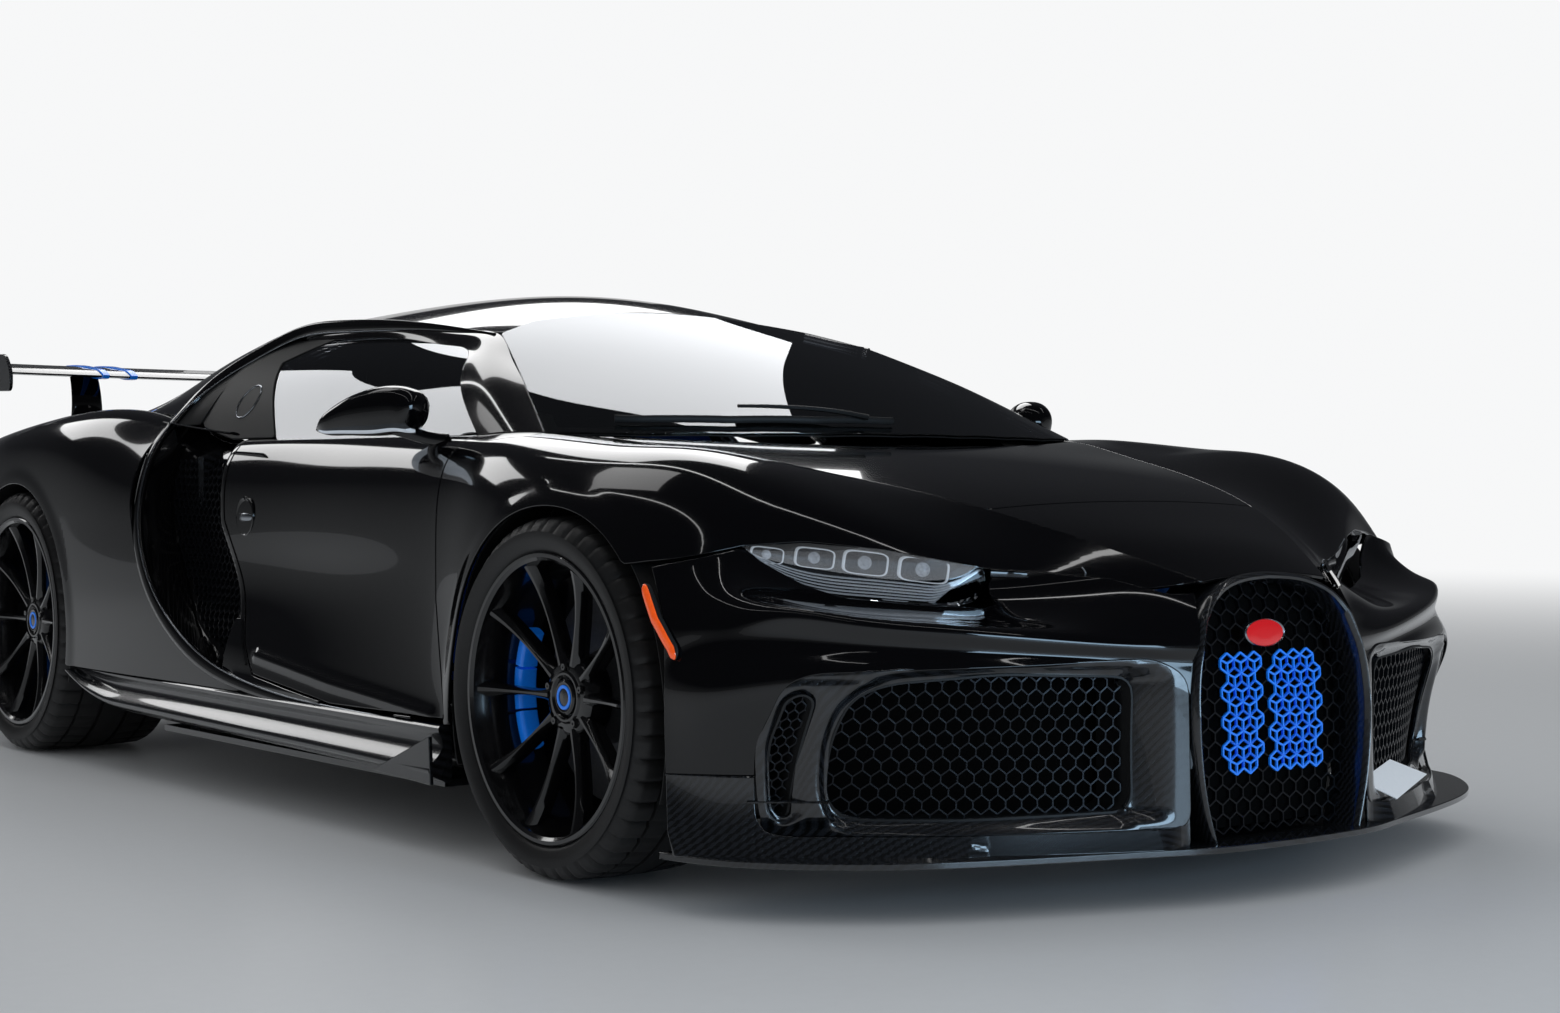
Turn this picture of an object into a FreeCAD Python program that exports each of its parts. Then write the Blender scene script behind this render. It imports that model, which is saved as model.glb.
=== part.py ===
import FreeCAD, Part
import math
import os

V = FreeCAD.Vector

# Driving dimensions, millimetres. X across the car, Y towards the tail, Z up, ground at zero.
LENGTH = 4544.0
WHEELBASE = 2711.0
FRONT_OVERHANG = 960.0
HALF_WIDTH = 1019.0
FRONT_TYRE_RADIUS = 340.0
FRONT_TYRE_WIDTH = 285.0
FRONT_RIM_RADIUS = 266.0
FRONT_HUB_X = 874.5
REAR_TYRE_RADIUS = 355.5
REAR_TYRE_WIDTH = 355.0
REAR_RIM_RADIUS = 278.0
REAR_HUB_X = 833.0
SKIN = 20.0
DOOR_WALL = 62.0
GLASS = 6.0
SHUT_GAP = 7.0
SEAT_GAP = 0.3
PIN_RADIUS = 9.0

NOSE = -LENGTH / 2
TAIL = LENGTH / 2
FRONT_AXLE = NOSE + FRONT_OVERHANG
REAR_AXLE = FRONT_AXLE + WHEELBASE

os.makedirs("parts", exist_ok=True)


def export(name, *solids):
    """Writes one sub-part, of one or more solids, under its node name."""
    shape = solids[0] if len(solids) == 1 else Part.makeCompound(list(solids))
    bad = [s for s in shape.Solids if not s.isValid() or s.Volume <= 0]
    print(name, len(shape.Solids), "solids", round(shape.Volume / 1e6, 2), "l", "BAD" if bad else "")
    shape.exportStep("parts/" + name + ".step")
    return shape


def mirrored(shape):
    """The same piece on the other side of the car."""
    return shape.mirror(V(0, 0, 0), V(1, 0, 0))


def both(shape):
    """A piece and its mirror image."""
    return [shape, mirrored(shape)]


def line(a, b):
    return Part.LineSegment(V(*a), V(*b)).toShape()


def arc(a, b, c):
    return Part.Arc(V(*a), V(*b), V(*c)).toShape()


def box(x0, x1, y0, y1, z0, z1):
    """A block from its lowest to its highest corner."""
    return Part.makeBox(x1 - x0, y1 - y0, z1 - z0, V(x0, y0, z0))


def cylinder(radius, start, end):
    """A round bar between two points."""
    a = V(*start)
    d = V(*end) - a
    return Part.makeCylinder(radius, d.Length, a, d)


def fused(shapes):
    """One solid of several that meet."""
    whole = shapes[0].fuse(shapes[1:]) if len(shapes) > 1 else shapes[0]
    whole = whole.removeSplitter()
    return whole.Solids[0] if len(whole.Solids) == 1 else whole


def profile_edges(points, kinds, place):
    """Edges along a section: L takes the next point, A the next two as an arc's middle and end."""
    edges = []
    at = 0
    for kind in kinds:
        if kind == "L":
            edges.append(line(place(points[at]), place(points[at + 1])))
            at += 1
        else:
            edges.append(arc(place(points[at]), place(points[at + 1]), place(points[at + 2])))
            at += 2
    return edges


def inset(points, wall, inside):
    """The points moved a wall's thickness towards the inside point, square to the section."""
    moved = []
    last = len(points) - 1
    for i, (u, v) in enumerate(points):
        a = points[max(i - 1, 0)]
        b = points[min(i + 1, last)]
        tu, tv = b[0] - a[0], b[1] - a[1]
        size = math.hypot(tu, tv)
        nu, nv = tv / size, -tu / size
        if nu * (inside[0] - u) + nv * (inside[1] - v) < 0:
            nu, nv = -nu, -nv
        moved.append((u + wall * nu, v + wall * nv))
    return moved


def strip_wire(points, kinds, wall, inside, place):
    """Closed wire of a wall: its outer line, its inner line and the two ends."""
    inner = inset(points, wall, inside)
    outer_edges = profile_edges(points, kinds, place)
    inner_edges = profile_edges(inner[::-1], kinds[::-1], place)
    ends = [line(place(points[-1]), place(inner[-1])), line(place(inner[0]), place(points[0]))]
    return Part.Wire(outer_edges + [ends[0]] + inner_edges + [ends[1]])


def cross_place(y, lean=0.0, foot=0.0):
    """Places (x, z) of a cross-section at y; lean tilts the plane back by that much per millimetre of height."""
    return lambda p: (p[0], y + lean * (p[1] - foot), p[1])


def plan_place(z):
    """Places (x, y) of a level section at height z."""
    return lambda p: (p[0], p[1], z)


def cross_panel(rows, kinds, wall, inside=(0.0, 350.0), ruled=False):
    """Panel lofted along the car through cross-sections given as (y, lean, points)."""
    wires = [strip_wire(pts, kinds, wall, inside, cross_place(y, lean)) for y, lean, pts in rows]
    return Part.makeLoft(wires, True, ruled)


def plan_panel(rows, kinds, wall, inside, ruled=False):
    """Panel lofted upwards through level sections given as (z, points)."""
    wires = [strip_wire(pts, kinds, wall, inside, plan_place(z)) for z, pts in rows]
    return Part.makeLoft(wires, True, ruled)


def side_prism(outline, x0, x1):
    """A side-view outline of (y, z) points carried across the car from x0 to x1."""
    pts = [V(x0, y, z) for y, z in outline]
    face = Part.Face(Part.makePolygon(pts + pts[:1]))
    return face.extrude(V(x1 - x0, 0, 0))


def front_prism(outline, y0, y1):
    """A front-view outline of (x, z) points carried along the car from y0 to y1."""
    pts = [V(x, y0, z) for x, z in outline]
    face = Part.Face(Part.makePolygon(pts + pts[:1]))
    return face.extrude(V(0, y1 - y0, 0))


def plan_prism(outline, z0, z1):
    """A plan-view outline of (x, y) points carried up from z0 to z1."""
    pts = [V(x, y, z0) for x, y in outline]
    face = Part.Face(Part.makePolygon(pts + pts[:1]))
    return face.extrude(V(0, 0, z1 - z0))


# Body cross-sections, half width: y from the axle named in the table, then (x, z) of the hood crease, fender crest,
# shoulder, widest line, flank and lower edge.
FENDER_ROWS = [
    (-518, (360, 684), (690, 668), (870, 570), (938, 450), (948, 380), (950, 257)),
    (-328, (440, 735), (800, 752), (962, 640), (1006, 500), (1012, 400), (1010, 257)),
    (0, (560, 790), (840, 812), (985, 730), (1017, 560), (1019, 450), (1017, 257)),
    (312, (680, 833), (850, 838), (950, 770), (988, 600), (990, 490), (987, 257)),
    (500, (705, 838), (838, 836), (922, 770), (952, 600), (956, 490), (985, 257)),
]
DOOR_ROWS = [
    (380, (776, 836), (842, 836), (935, 770), (965, 600), (967, 490), (987, 257)),
    (500, (776, 836), (842, 836), (922, 770), (952, 600), (956, 490), (985, 257)),
    (912, (776, 836), (842, 836), (905, 765), (925, 600), (926, 480), (985, 257)),
    (1312, (776, 836), (845, 836), (900, 760), (918, 600), (922, 470), (985, 257)),
    (1640, (776, 836), (852, 836), (908, 765), (928, 600), (935, 470), (985, 257)),
]
# Rear haunch: y from the rear axle, then deck edge, crest, shoulder, widest line, flank and lower edge.
HAUNCH_ROWS = [
    (-1420, (828, 842), (840, 838), (925, 770), (960, 620), (965, 480), (985, 257)),
    (-1100, (830, 858), (842, 855), (940, 780), (985, 620), (990, 480), (990, 257)),
    (-760, (836, 884), (850, 880), (955, 790), (998, 620), (1003, 480), (1000, 257)),
    (-399, (745, 918), (868, 925), (980, 830), (1006, 640), (1008, 500), (1006, 257)),
    (0, (694, 914), (870, 912), (980, 830), (1008, 640), (1010, 500), (1008, 257)),
    (361, (674, 885), (850, 882), (960, 800), (1005, 620), (1008, 500), (1000, 257)),
    (651, (662, 862), (805, 858), (905, 790), (955, 640), (958, 520), (950, 330)),
    (790, (650, 850), (770, 846), (860, 780), (905, 650), (908, 560), (900, 430)),
]
# Bonnet and nose top: y from the front axle, centre height and crease (x, z).
BONNET_ROWS = [
    (-518, 702, (354, 684)),
    (-328, 748, (434, 735)),
    (0, 803, (554, 790)),
    (330, 842, (684, 835)),
]
# Upper nose: y from the front axle, then (x, z) from the centre out to the corner.
NOSE_ROWS = [
    (-845, (0, 590), (110, 580), (215, 530), (290, 490), (330, 440)),
    (-748, (0, 632), (130, 622), (300, 575), (500, 520), (610, 440)),
    (-628, (0, 668), (160, 660), (330, 630), (600, 565), (800, 440)),
    (-522, (0, 701), (180, 696), (358, 682), (680, 640), (930, 440)),
]
# Bumper face: height, then (x, y from the front axle) at the grille, mid face, corner and arch.
BUMPER_ROWS = [
    (105, (206, -905), (610, -775), (930, -510), (985, -386)),
    (240, (228, -896), (640, -765), (945, -505), (1006, -386)),
    (360, (242, -884), (645, -750), (948, -505), (1010, -386)),
    (438, (238, -872), (640, -740), (942, -508), (1006, -386)),
]
# Cabin glasshouse, half width: y from the front axle, belt (x, z), side glass middle, glass top, roof middle, centre.
SIDE_GLASS_ROWS = [
    (500, (834, 834), (735, 965), (560, 1072)),
    (912, (834, 834), (722, 975), (538, 1074)),
    (1312, (834, 834), (732, 990), (556, 1099)),
    (1600, (834, 834), (738, 995), (574, 1112)),
    (1912, (822, 884), (735, 1003), (606, 1109)),
]
# Windscreen and roof: y from the front axle, side (x, z) and centre height.
SCREEN_ROWS = [
    (140, (760, 722), 834),
    (407, (760, 838), 938),
    (662, (760, 940), 1030),
    (922, (760, 1042), 1112),
    (1070, (760, 1086), 1156),
]
ROOF_ROWS = [
    (912, (534, 1079), 1110),
    (1062, (542, 1091), 1154),
    (1262, (554, 1107), 1198),
    (1562, (574, 1119), 1212),
    (1905, (594, 1112), 1192),
]
# Engine cover behind the cabin: y from the rear axle, edge (x, z), shoulder, top edge, crown and centre.
COVER_ROWS = [
    (-794, (828, 886), (735, 1003), (608, 1109), (300, 1172), (0, 1192)),
    (-399, (739, 920), (655, 988), (560, 1052), (280, 1100), (0, 1128)),
    (0, (688, 912), (605, 942), (500, 975), (250, 1005), (0, 1040)),
    (400, (666, 880), (560, 902), (450, 925), (220, 938), (0, 962)),
    (790, (644, 848), (520, 861), (400, 868), (200, 872), (0, 878)),
]

ARCH_DROP = 25.0
FRONT_ARCH = FRONT_TYRE_RADIUS + 45.0
REAR_ARCH = REAR_TYRE_RADIUS + 32.0
LINER = 6.0
LINER_CLEAR = 46.0
WELL_WALL_X = 562.0
BELT_Z = 836.0
DIFFUSER_Y = REAR_AXLE + 420
FLOOR_Z = 128.0
FLOOR = 14.0


def at(axle, rows):
    """The rows with their y counted from an axle made absolute."""
    return [(axle + row[0],) + tuple(row[1:]) for row in rows]


def arch_hole(axle_y, radius, drop=ARCH_DROP, tyre_radius=FRONT_TYRE_RADIUS):
    """Round wheel opening through the flank, its centre a little below the hub."""
    z = tyre_radius - drop
    return cylinder(radius, (WELL_WALL_X, axle_y, z), (HALF_WIDTH + 60, axle_y, z))


# Door outline in side view, from the measured shut lines: y from the front axle and z.
DOOR_OUTLINE = [
    (529, BELT_Z + 12), (478, 503), (402, 268), (900, 262), (1276, 300), (1352, 375), (1440, 500), (1549, 649),
    (1590, BELT_Z + 12),
]


def grown(outline, gap):
    """An outline with every side moved out by a gap, or in by a negative one."""
    wire = Part.makePolygon([V(y, z, 0) for y, z in outline + outline[:1]])
    area = Part.Face(wire).Area
    wide = wire.makeOffset2D(gap, 2, False, False, True)
    if (Part.Face(wide).Area - area) * gap < 0:
        wide = wire.makeOffset2D(-gap, 2, False, False, True)
    return [(v.Point.x, v.Point.y) for v in wide.OrderedVertexes]


door_outline = [(FRONT_AXLE + y, z) for y, z in DOOR_OUTLINE]
door_prism = side_prism(door_outline, 500, HALF_WIDTH + 80)
door_hole = side_prism(grown(door_outline, SHUT_GAP), 500, HALF_WIDTH + 80)


def bonnet_outline(gap):
    """Plan region of the bonnet: front edge, crease sides and a bowed rear edge ahead of the windscreen."""
    sides = [(FRONT_AXLE + y, h[0] - SHUT_GAP / 2 + gap) for y, _, h in BONNET_ROWS]
    rear_corner = FRONT_AXLE + 300 + gap
    rear_mid = FRONT_AXLE + 96 + gap
    bow = [(x, rear_mid + (rear_corner - rear_mid) * (x / 640.0) ** 2) for x in (640, 480, 320, 160, 0)]
    front = FRONT_AXLE - 512 - gap
    right = [(x, y) for x, y in bow]
    half = [(0, front), (352 + gap, front), (1200, front), (1200, rear_corner)] + right
    return half + [(-x, y) for x, y in half[::-1][1:-1]]


def bonnet():
    """Luggage lid ahead of the windscreen, hinged at its rear edge on two lugs."""
    rows = []
    for y, centre, (hx, hz) in at(FRONT_AXLE, BONNET_ROWS):
        rows.append((y, 0.0, [(-hx + SHUT_GAP, hz), (0, centre), (hx - SHUT_GAP, hz)]))
    lid = cross_panel(rows, "A", SKIN).common(plan_prism(bonnet_outline(0), 500, 1000))
    y, z = BONNET_HINGE_Y, BONNET_HINGE_Z
    for side in (1, -1):
        x = side * BONNET_LUG_X
        lug = side_prism([(y - 118, z + 4), (y - 38, z + 20), (y + 13, z + 14), (y + 13, z - 13), (y - 13, z - 13),
                          (y - 90, z - 10)], x - LUG / 2, x + LUG / 2)
        bore = cylinder(PIN_RADIUS + SEAT_GAP, (x - LUG, y, z), (x + LUG, y, z))
        lid = fused([lid, lug]).cut(bore)
    return lid


def fender():
    """Front fender from the headlamp to the door, with its round wheel opening."""
    rows = [(y, 0.0, list(pts)) for y, *pts in at(FRONT_AXLE, FENDER_ROWS)]
    skin = cross_panel(rows, "LAA", SKIN)
    skin = skin.cut(arch_hole(FRONT_AXLE, FRONT_ARCH))
    skin = skin.cut(door_hole)
    corner = box(300, 1100, FRONT_AXLE - 700, FRONT_AXLE - 380, 0, 442)
    return skin.cut(corner)


def nose():
    """Front bumper: the face with its two large intakes, and the sloping nose above it."""
    rows = [(z, [(x, FRONT_AXLE + y) for x, y in pts]) for z, *pts in BUMPER_ROWS]
    face = plan_panel(rows, "AL", SKIN, (300.0, FRONT_AXLE))
    intake = front_prism(INTAKE, NOSE - 50, FRONT_AXLE - 380)
    behind = box(700, 1100, FRONT_AXLE - 384, FRONT_AXLE, 0, 600)
    return face.cut(intake).cut(behind)


def nose_top():
    """Sloping nose panel between the grille, the headlamps and the bonnet."""
    rows = []
    for y, *pts in at(FRONT_AXLE, NOSE_ROWS):
        whole = [(-x, z) for x, z in pts[:0:-1]] + list(pts)
        rows.append((y, 0.0, whole))
    return cross_panel(rows, "AAAA", SKIN)


def headlamp_outline(grow=0.0):
    """Front view of the slit headlamp: (x, z) points from the inner upper corner."""
    return [(474 - grow, 587 + grow), (640, 604 + grow), (800, 632 + grow), (872 + grow, 646 + grow),
            (840, 608 - grow), (700, 556 - grow), (560, 524 - grow), (492 - grow, 520 - grow)]


def haunch():
    """Rear fender over the rear wheel, from the side intake to the tail."""
    rows = [(y, 0.0, list(pts)) for y, *pts in at(REAR_AXLE, HAUNCH_ROWS)]
    skin = cross_panel(rows, "LAA", SKIN)
    hole = cylinder(REAR_ARCH, (WELL_WALL_X, REAR_AXLE, REAR_TYRE_RADIUS - 10),
                    (HALF_WIDTH + 60, REAR_AXLE, REAR_TYRE_RADIUS - 10))
    return skin.cut(hole)


def engine_cover():
    """Fastback cover over the engine with its raised centre line."""
    rows = []
    for y, *pts in at(REAR_AXLE, COVER_ROWS):
        whole = [(-x, z) for x, z in pts] + list(pts[-2::-1])
        rows.append((y, 0.0, whole))
    return cross_panel(rows, "AAAA", SKIN)


def roof():
    """Roof panel between the cant rails."""
    rows = []
    for y, (x, z), centre in at(FRONT_AXLE, ROOF_ROWS):
        rows.append((y, 0.0, [(-x, z), (0, centre), (x, z)]))
    return cross_panel(rows, "A", SKIN).cut(plan_prism(screen_outline(SEAT_GAP), 900, 1300))


def tyre(radius, rim_radius, width):
    """Tyre revolved about X, centred on its middle plane, with bulged sidewalls and a crowned tread."""
    half = width / 2
    tread = half - 34
    bead = half - 18
    outer = [line((-bead, 0, rim_radius), (-bead, 0, rim_radius + 6)),
             arc((-bead, 0, rim_radius + 6), (-half, 0, (radius + rim_radius) / 2), (-half + 9, 0, radius - 22)),
             arc((-half + 9, 0, radius - 22), (-half + 16, 0, radius - 9), (-tread, 0, radius - 4)),
             arc((-tread, 0, radius - 4), (0, 0, radius), (tread, 0, radius - 4)),
             arc((tread, 0, radius - 4), (half - 16, 0, radius - 9), (half - 9, 0, radius - 22)),
             arc((half - 9, 0, radius - 22), (half, 0, (radius + rim_radius) / 2), (bead, 0, rim_radius + 6)),
             line((bead, 0, rim_radius + 6), (bead, 0, rim_radius)),
             line((bead, 0, rim_radius), (-bead, 0, rim_radius))]
    return Part.Face(Part.Wire(outer)).revolve(V(0, 0, 0), V(1, 0, 0), 360)


SPOKES = 10
HUB_RADIUS = 74.0
HUB_BORE = 34.0
SPINDLE_RADIUS = HUB_BORE - SEAT_GAP
RIM_WALL = 9.0
DISC_WALL = 36.0


def rim(rim_radius, width):
    """Ten-spoke rim about X with its outer face at +X: barrel, hub with its bore and thin concave spokes."""
    half = width / 2
    bead = half - 18
    r1 = rim_radius - SEAT_GAP
    lip = [(-bead, r1), (bead, r1), (bead, r1 + 6), (half - 8, r1 + 6), (half - 8, r1 - 6), (half - 30, r1 - 16),
           (half - 60, r1 - RIM_WALL - 14), (-half + 50, r1 - RIM_WALL - 14), (-half + 28, r1 - RIM_WALL),
           (-half + 8, r1 - 4), (-half + 8, r1 + 6), (-bead, r1 + 6)]
    pts = [V(x, 0, r) for x, r in lip]
    barrel = Part.Face(Part.makePolygon(pts + pts[:1])).revolve(V(0, 0, 0), V(1, 0, 0), 360)
    face_x = half - 14
    hub_x = face_x - 46
    hub_profile = [(hub_x - 52, HUB_BORE), (hub_x - 8, HUB_BORE), (hub_x, HUB_BORE + 4), (hub_x, HUB_RADIUS - 12),
                   (hub_x - 10, HUB_RADIUS), (hub_x - 52, HUB_RADIUS + 6)]
    pts = [V(x, 0, r) for x, r in hub_profile]
    hub = Part.Face(Part.makePolygon(pts + pts[:1])).revolve(V(0, 0, 0), V(1, 0, 0), 360)
    outer_r = r1 - 11
    spokes = []
    for i in range(SPOKES):
        wires = []
        for r, x_out, depth, w in ((HUB_RADIUS - 10, hub_x - 4, 34, 26), ((HUB_RADIUS + outer_r) / 2, hub_x + 8, 30, 19),
                                   (outer_r, face_x - 12, 34, 24)):
            a = [V(x_out, -w / 4, r), V(x_out, w / 4, r), V(x_out - depth, w / 2, r), V(x_out - depth, -w / 2, r)]
            wires.append(Part.makePolygon(a + a[:1]))
        spoke = Part.makeLoft(wires, True, True)
        spoke.rotate(V(0, 0, 0), V(1, 0, 0), 360.0 / SPOKES * (i + 0.5))
        spokes.append(spoke)
    return fused([barrel, hub] + spokes)


def brake_disc(radius, hub_x):
    """Brake disc about X with its bell, seated on the hub's inner face at hub_x."""
    back = hub_x - SEAT_GAP
    profile = [(back, HUB_BORE), (back, HUB_RADIUS), (back - 48, HUB_RADIUS + 18), (back - 48, radius),
               (back - 48 - DISC_WALL, radius), (back - 48 - DISC_WALL, HUB_RADIUS + 8), (back - 10, HUB_RADIUS - 12),
               (back - 10, HUB_BORE)]
    pts = [V(x, 0, r) for x, r in profile]
    return Part.Face(Part.makePolygon(pts + pts[:1])).revolve(V(0, 0, 0), V(1, 0, 0), 360)


def caliper(radius, disc_x, behind):
    """Brake caliper straddling the disc's edge at disc_x, on the rear side of the hub or the front side."""
    sweep = 62.0
    inner, outer = radius - 78, radius + 20
    shell_profile = [(disc_x - 66, inner), (disc_x + 36, inner), (disc_x + 36, outer), (disc_x - 66, outer)]
    pts = [V(x, 0, r) for x, r in shell_profile]
    body = Part.Face(Part.makePolygon(pts + pts[:1])).revolve(V(0, 0, 0), V(1, 0, 0), sweep)
    slot_profile = [(disc_x - DISC_WALL - 6, inner - 5), (disc_x + 6, inner - 5), (disc_x + 6, radius + 6),
                    (disc_x - DISC_WALL - 6, radius + 6)]
    pts = [V(x, 0, r) for x, r in slot_profile]
    slot = Part.Face(Part.makePolygon(pts + pts[:1])).revolve(V(0, 0, 0), V(1, 0, 0), sweep + 20)
    slot.rotate(V(0, 0, 0), V(1, 0, 0), -10)
    body = body.cut(slot)
    side = 90.0 if not behind else -90.0
    body.rotate(V(0, 0, 0), V(1, 0, 0), side - sweep / 2)
    return body


COWL_CORNER = (748.0, FRONT_AXLE + 407)
COWL_MID = FRONT_AXLE + 160
HEADER_CORNER = (540.0, FRONT_AXLE + 922)
HEADER_MID = FRONT_AXLE + 1052


def bow(corner, mid_y, count=4):
    """Points of a shallow bow from a corner at +X to the middle, as (x, y)."""
    x1, y1 = corner
    return [(x1 * i / count, mid_y + (y1 - mid_y) * (i / count) ** 2) for i in range(count, -1, -1)]


def screen_outline(gap):
    """Plan region of the windscreen: bowed foot, pillars and bowed header."""
    foot = bow(COWL_CORNER, COWL_MID)
    head = bow(HEADER_CORNER, HEADER_MID)
    half = [(x + gap, y - gap) for x, y in foot[:-1]] + [(0, foot[-1][1] - gap)]
    top = [(x + gap, y + gap) for x, y in head[:-1]] + [(0, head[-1][1] + gap)]
    right = half[::-1] + top
    return right + [(-x, y) for x, y in right[::-1][1:-1]]


def windscreen():
    """Raked, curved windscreen glass."""
    rows = [(y, 0.0, [(-x, z), (0, centre), (x, z)]) for y, (x, z), centre in at(FRONT_AXLE, SCREEN_ROWS)]
    glass = cross_panel(rows, "A", GLASS)
    return glass.common(plan_prism(screen_outline(0), 700, 1300))


def bar(points, width, height, up=(0, 0, 1)):
    """Straight-sided rail through points: a rectangle carried along them, width across and height along up."""
    wires = []
    last = len(points) - 1
    for i, p in enumerate(points):
        d = V(*points[min(i + 1, last)]) - V(*points[max(i - 1, 0)])
        d.normalize()
        side = d.cross(V(*up))
        side.normalize()
        top = side.cross(d)
        o = V(*p)
        c = [o + side * (a * width / 2) + top * (b * height / 2) for a, b in ((-1, -1), (1, -1), (1, 1), (-1, 1))]
        wires.append(Part.makePolygon(c + c[:1]))
    return Part.makeLoft(wires, True, True)


def side_glass(outline, wall=GLASS):
    """Part of the cabin's curved side within a side-view outline."""
    rows = [(y, 0.0, [foot, mid, top]) for y, foot, mid, top in at(FRONT_AXLE, SIDE_GLASS_ROWS)]
    return cross_panel(rows, "A", wall).common(side_prism(outline, 300, 1000))


# Door hinge line, beside the front shut line: its lower pin, its tilt back, its lean inwards and the two pins along it.
DOOR_HINGE_X = 930.0
DOOR_HINGE_Y = FRONT_AXLE + 401
DOOR_HINGE_Z = 470.0
DOOR_TILT = 12.0
DOOR_LEAN = 6.85
HINGE_LEVELS = (0.0, 236.0)
HINGE_PLATE = 16.0
HINGE_BOSS = 18.0
DOOR_NOSE_RADIUS = 80.0
RAIL_X = 360.0
BONNET_HINGE_Y = FRONT_AXLE + 300
BONNET_HINGE_Z = 796.0
BONNET_LUG_X = 600.0
LUG = 12.0
COWL_TOP = 775.0
COWL_WALL = 14.0


def on_hinge_line(shape, level):
    """A piece drawn round the origin with its pin along Z, set on the tilted hinge line at a distance from its foot."""
    shape.translate(V(0, 0, level))
    shape.rotate(V(0, 0, 0), V(0, 1, 0), -DOOR_LEAN)
    shape.rotate(V(0, 0, 0), V(1, 0, 0), -DOOR_TILT)
    shape.translate(V(DOOR_HINGE_X, DOOR_HINGE_Y, DOOR_HINGE_Z))
    return shape


def hinge_arm():
    """Swan-necked arm that carries the door from its pin, round the fender's rear edge, to the door's inner side."""
    t = HINGE_BOSS
    plan = [(t - 6, -t), (-78, -t), (-78, 116), (-10, 116), (-10, 86), (-58, 86), (-58, t - 8), (t - 6, t - 8)]
    plate = plan_prism(plan, -HINGE_PLATE / 2, HINGE_PLATE / 2)
    boss = Part.makeCylinder(t, HINGE_PLATE, V(0, 0, -HINGE_PLATE / 2))
    return fused([plate, boss])


def hinge_bracket():
    """Bracket from the front door post to just below the arm, with the pin standing on it."""
    top = -HINGE_PLATE / 2 - SHUT_GAP
    t = HINGE_BOSS
    plan = [(t - 4, -t + 2), (-22, -t + 2), (-74, 38), (-184, 52), (-184, 94), (-92, 80), (-56, 30), (t - 4, t - 2)]
    plate = plan_prism(plan, top - HINGE_PLATE, top)
    pin = Part.makeCylinder(PIN_RADIUS, HINGE_PLATE * 2 + SHUT_GAP + 4, V(0, 0, top - HINGE_PLATE))
    return fused([plate, pin])


def door_shell():
    """Door as thick as the real one, hung on two swan-necked arms bored for their pins."""
    rows = [(y, 0.0, list(pts)) for y, *pts in at(FRONT_AXLE, DOOR_ROWS)]
    shell = cross_panel(rows, "LAA", DOOR_WALL).common(door_prism)
    arms = [on_hinge_line(hinge_arm(), level) for level in HINGE_LEVELS]
    bore = on_hinge_line(Part.makeCylinder(PIN_RADIUS + SEAT_GAP, 600, V(0, 0, -100)), 0)
    sweep = on_hinge_line(Part.makeCylinder(DOOR_NOSE_RADIUS, 800, V(0, 0, -300)), 0)
    return fused([shell.cut(sweep)] + arms).cut(bore)


DOOR_LEDGE = 836.0
DOOR_GLASS = [(FRONT_AXLE + 530, DOOR_LEDGE + SEAT_GAP), (FRONT_AXLE + 905, 1038), (FRONT_AXLE + 1060, 1054),
              (FRONT_AXLE + 1330, 1084), (FRONT_AXLE + 1560, 1090), (FRONT_AXLE + 1680, 1030),
              (FRONT_AXLE + 1460, DOOR_LEDGE + SEAT_GAP)]
QUARTER = [(FRONT_AXLE + 1475, 846), (FRONT_AXLE + 1695, 1034), (FRONT_AXLE + 1580, 1094),
           (FRONT_AXLE + 1905, 1090), (FRONT_AXLE + 1905, 846)]


def mirror_head():
    """Door mirror: a tapered shell on a slim arm from the top of the door."""
    y = FRONT_AXLE + 690
    shell = bar([(884, y, 898), (900, y - 4, 900), (960, y + 4, 903), (1000, y + 26, 896)], 96, 84)
    stalk = bar([(845, y, DOOR_LEDGE + SEAT_GAP), (845, y, 850), (862, y, 872), (890, y, 884)], 60, 16, (1, 0, 0))
    return fused([shell, stalk])


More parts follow.
